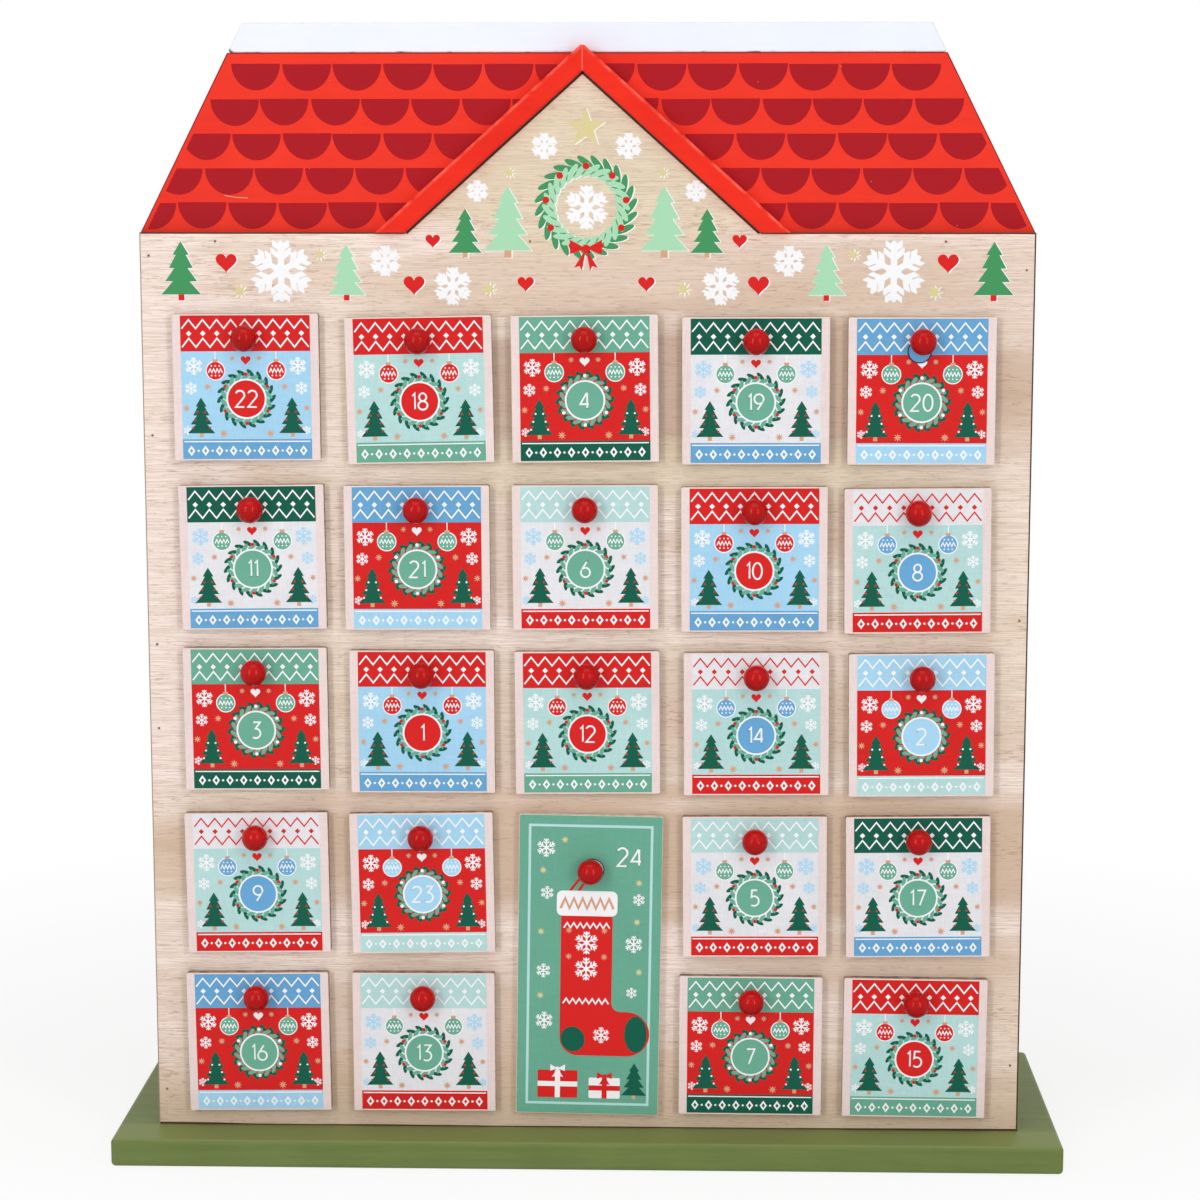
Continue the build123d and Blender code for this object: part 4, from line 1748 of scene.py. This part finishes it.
@dataclass
class Shell:
    """The boards of the house and the base that it stands on.

    Attributes:
        scorch: Width of the dark line along the panel's sawn edges, in millimetres.
        slope_scorch: Width of the dark line along the gable: scorch, and painted shadow of the trims.
        singe: Width of the fainter line along its left edge.
        film: Thickness of those lines.
        foot_line: Painted shadow along its foot, where it meets the base: shares of its half width, and
            heights there in millimetres.
        belts: Browner and yellower patches on the front panel: its veneer's figure, and partly painted shade
            in the gaps between the drawers.
    """

    scorch: float = 0.5
    slope_scorch: float = 0.85
    singe: float = 0.35
    film: float = 0.02
    foot_line: Tuple[Point, ...] = ((1.0, 0.75), (0.86, 0.7), (0.6, 0.5), (0.45, 0.36), (0.1, 0.42),
                                    (-0.2, 0.36), (-0.5, 0.5), (-0.62, 0.34), (-0.78, 0.36),
                                    (-0.86, 0.66), (-1.0, 0.75))
    # Fitted where the panel looks darker between the drawers, so partly painted shade.
    belts: Tuple[Belt, ...] = (
        Belt((-0.15, 0.235), (0.03, 0.125), PALE_VENEER, 0.9),
        Belt((0.04, 0.109), (0.24, 0.024), TAN_VENEER_AND_SHADE, 0.85),
        Belt((0.0, 0.008), (0.35, 0.026), TAN_VENEER_AND_SHADE, 0.6),
        Belt((-0.05, 0.045), (0.07, 0.03), TAN_VENEER_AND_SHADE, 0.6),
        Belt((0.05, 0.27), (0.115, 0.028), BROWN_VENEER_AND_SHADE, 0.78),
        Belt((0.13, 0.286), (0.09, 0.045), TAN_VENEER_AND_SHADE, 0.35),
        Belt((0.085, 0.224), (0.05, 0.014), TAN_VENEER_AND_SHADE, 0.45),
        Belt((0.03, 0.2425), (0.11, 0.012), YELLOW_VENEER, 0.7),
        Belt((0.03, 0.156), (0.13, 0.025), TAN_VENEER_AND_SHADE, 0.35),
        Belt((-0.03, 0.212), (0.035, 0.02), TAN_VENEER_AND_SHADE, 0.4),
        Belt((0.11, 0.07), (0.06, 0.014), TAN_VENEER_AND_SHADE, 0.6),
        Belt((0.03, 0.309), (0.11, 0.014), TAN_VENEER_AND_SHADE, 0.5),
        Belt((0.0, 0.345), (0.07, 0.03), YELLOW_VENEER, 0.85),
    )

    def dress(self, nodes: Nodes, face: PanelFace) -> None:
        """Give each board its finish.

        Args:
            nodes: The frame's nodes.
            face: The face of the front panel.
        """
        inside = {"light": srgb(232, 210, 184), "cream": srgb(224, 200, 170), "tan": srgb(205, 176, 144)}
        finishes = {
            "base_board": BaseFinish("green_paint", srgb(113, 128, 71), srgb(100, 116, 61), 0.5, shine=0.22,
                                     relief=0.3, streak=0.6, panel=face.place.translation.y),
            "front_panel": WoodFinish("panel_plywood", Axis.X, Axis.Y, belts=self.belts),
            "back_panel": WoodFinish("back_plywood", Axis.X, Axis.Y),
            "side_walls": WoodFinish("wall_wood", Axis.Z, Axis.X, scorch=0.0, **inside),
            "floor_and_ceiling": WoodFinish("floor_wood", Axis.X, Axis.Z, scorch=0.0, **inside),
            "shelves": WoodFinish("shelf_plywood", Axis.X, Axis.Z, scorch=0.8, **inside),
            "dividers": WoodFinish("divider_plywood", Axis.Z, Axis.X, scorch=0.8, **inside),
            "panel_pins": SteelFinish("pin_steel"),
        }
        for node, finish in finishes.items():
            wear(nodes[node], finish.material())
        self._scorch_panel(face)

    def _scorch_panel(self, face: PanelFace) -> None:
        """Darken the panel's face along its sawn edges: scorch, with painted shadow of the trims along the
        gable and painted shadow along the foot.

        Args:
            face: The face of the front panel.
        """
        inset = self.scorch / 2
        sheet = PrintSheet("panel_scorch", face.place, self.film)
        for side in SIDES:
            foot = face.foot_of(side)
            sheet.stroke([(side * face.half, -inset), (foot[0], -inset)], self.scorch, Ink.SCORCH)
            # scorch and painted shadow of the trims along the gable
            slope = shifted((foot, face.tip), face.inward(side) * (self.slope_scorch / 2))
            sheet.stroke(slope, self.slope_scorch, Ink.SCORCH, 1)
        for edge, width, ink in ((face.half - inset, self.scorch, Ink.SCORCH),
                                 (self.singe / 2 - face.half, self.singe, Ink.SINGED)):
            sheet.stroke([(edge, face.foot), (edge, 0)], width, ink, 1)
        # painted shadow along the panel's foot, where it meets the base
        ragged = [(share * face.half, face.foot + rise) for share, rise in self.foot_line]
        sheet.polygon([(-face.half, face.foot), (face.half, face.foot)] + ragged, Ink.SCORCH)
        sheet.finish(HOUSE, PANEL_SLOT)


@dataclass(frozen=True)
class Lamp:
    """A soft box that looks at the house.

    Attributes:
        name: Its name.
        place: Where it hangs.
        size: Its width and height in metres.
        watts: Its power.
        aim: Where it looks.
    """

    name: str
    place: Spot
    size: Point
    watts: float
    aim: Spot = (0.0, 0.0, 0.2)

    def hang(self) -> None:
        """Hang the lamp."""
        data = bpy.data.lights.new(self.name, "AREA")
        data.shape = "RECTANGLE"
        data.size, data.size_y = self.size
        data.energy = self.watts
        lamp = bpy.data.objects.new(self.name, data)
        lamp.location = self.place
        lamp.rotation_euler = (Vector(self.aim) - Vector(self.place)).to_track_quat("-Z", "Y").to_euler()
        bpy.context.scene.collection.objects.link(lamp)


@dataclass
class Studio:
    """The pale floor, the soft lamps and the camera of the photograph's view.

    Attributes:
        eye: Place of the camera.
        down: How far the camera looks down, in degrees.
        left: How far it is turned to the left, in degrees.
        focus_pixels: Focal length in pixels of the photograph.
        sensor: Width of the camera's sensor in millimetres.
        lamps: The lamps.
        ambient: Strength of the light from all round.
        behind: Further strength of the light from straight behind.
        floor_size: Half the floor's width.
        shadow: Share of the shadow that the floor keeps in front, and what it keeps more behind.
        shadow_depth: Places along Y between which that share grows.
        shadow_reach: Distances from the object's middle at which the shadow is gone and whole.
    """

    eye: Spot = (0.0308, -1.0172, 0.3402)
    down: float = 8.22
    left: float = 1.525
    focus_pixels: float = 2868.2
    sensor: float = 36.0
    lamps: Tuple[Lamp, ...] = (
        Lamp("lamp_left", (-0.75, -1.25, 0.6), (0.22, 1.1), 5.95),
        Lamp("lamp_right", (0.75, -1.25, 0.6), (0.22, 1.1), 4.95),
        Lamp("lamp_top", (0.0, -0.55, 1.7), (1.2, 0.9), 5.6),
    )
    ambient: float = 0.42
    behind: float = 0.6
    floor_size: float = 4.0
    shadow: Point = (0.1, 0.15)
    shadow_depth: Point = (-0.09, 0.06)
    shadow_reach: Point = (0.5, 0.2)

    def build(self) -> None:
        """Make the camera, the floor, the lamps and the world."""
        self._camera()
        self._floor()
        for lamp in self.lamps:
            lamp.hang()
        self._world()
        bpy.context.scene.view_settings.view_transform = "Standard"

    def _camera(self) -> None:
        """Place the camera."""
        data = bpy.data.cameras.new("camera")
        data.sensor_width = self.sensor
        data.lens = self.sensor * self.focus_pixels / PHOTO_PIXELS
        camera = bpy.data.objects.new("camera", data)
        camera.location = self.eye
        camera.rotation_euler = (math.radians(90 - self.down), 0, math.radians(self.left))
        bpy.context.scene.collection.objects.link(camera)
        bpy.context.scene.camera = camera

    def _floor(self) -> None:
        """Lay a pale floor that keeps the object's shadow and fades into the white behind."""
        mesh = bmesh.new()
        bmesh.ops.create_grid(mesh, x_segments=8, y_segments=8, size=self.floor_size)
        data = bpy.data.meshes.new("floor")
        mesh.to_mesh(data)
        mesh.free()
        graph = Graph(bpy.data.materials.new("floor_paper"))
        paper = graph.node("ShaderNodeBsdfPrincipled", {}, {
            "Base Color": srgb(246, 246, 246), "Roughness": 0.85 + graph.clouds(4) * 0.1,
            "Specular IOR Level": 0.1})
        glow = graph.node("ShaderNodeEmission", {}, {"Color": PURE_WHITE, "Strength": 1.0})
        away = graph.node("ShaderNodeVectorMath", {"operation": "LENGTH"}, {0: graph.coordinate("Object")},
                          "Value")
        depth = graph.along(Axis.Y).between(*self.shadow_depth)
        kept = (self.shadow[0] + depth * self.shadow[1]) * away.between(*self.shadow_reach)
        share = self._shown(graph) * (1.0 - kept)
        graph.finish(graph.node("ShaderNodeMixShader", {}, {0: share, 1: paper, 2: glow}))
        data.materials.append(graph.owner)
        floor = bpy.data.objects.new("floor", data)
        bpy.context.scene.collection.objects.link(floor)

    def _shown(self, graph: Graph) -> Socket:
        """Give where the background shows.

        Args:
            graph: Graph of the floor or of the world.

        Returns:
            1 for what is seen, mirrored or seen through glass, else 0.
        """
        rays = [graph.node("ShaderNodeLightPath", {}, {}, ray)
                for ray in ("Is Camera Ray", "Is Glossy Ray", "Is Transmission Ray")]
        return (rays[0] + rays[1] + rays[2]).between(0.0, 1.0)

    def _world(self) -> None:
        """Make a white world that lights less than it shows."""
        world = bpy.data.worlds.new("studio")
        graph = Graph(world)
        light = self.ambient + graph.part("Generated", Axis.Y).between(0.0, 1.0) * self.behind
        strength = light + self._shown(graph) * (1.0 - light)
        graph.finish(graph.node("ShaderNodeBackground", {}, {"Color": PURE_WHITE, "Strength": strength}))
        bpy.context.scene.world = world


def wear(node: bpy.types.Object, material: bpy.types.Material) -> None:
    """Give a node one material for all its faces.

    Args:
        node: The node.
        material: Its material.
    """
    for slot in node.material_slots:
        slot.material = material
    if not node.material_slots:
        node.data.materials.append(material)
    LOG.info("%s wears %s", node.name, material.name)


def main() -> None:
    """Build the scene in order."""
    logging.basicConfig(level=logging.INFO, format="%(name)s: %(message)s")
    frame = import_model()
    nodes = frame["nodes"]
    face = PanelFace.read(nodes["front_panel"])
    Shell().dress(nodes, face)
    Roof().dress(nodes, face)
    Gable().dress(face)
    knob_paint = KnobFinish("knob_red_paint", srgb(195, 11, 11), srgb(178, 8, 9), 0.15, shine=0.14,
                            relief=0.04)
    for scheme, numbers in FRONT_SCHEMES.items():
        for number in numbers:
            Drawer(number, scheme).dress(nodes, knob_paint)
    TallDrawer(TALL_NUMBER).dress(nodes, knob_paint)
    Studio().build()


if __name__ == "__main__":
    main()
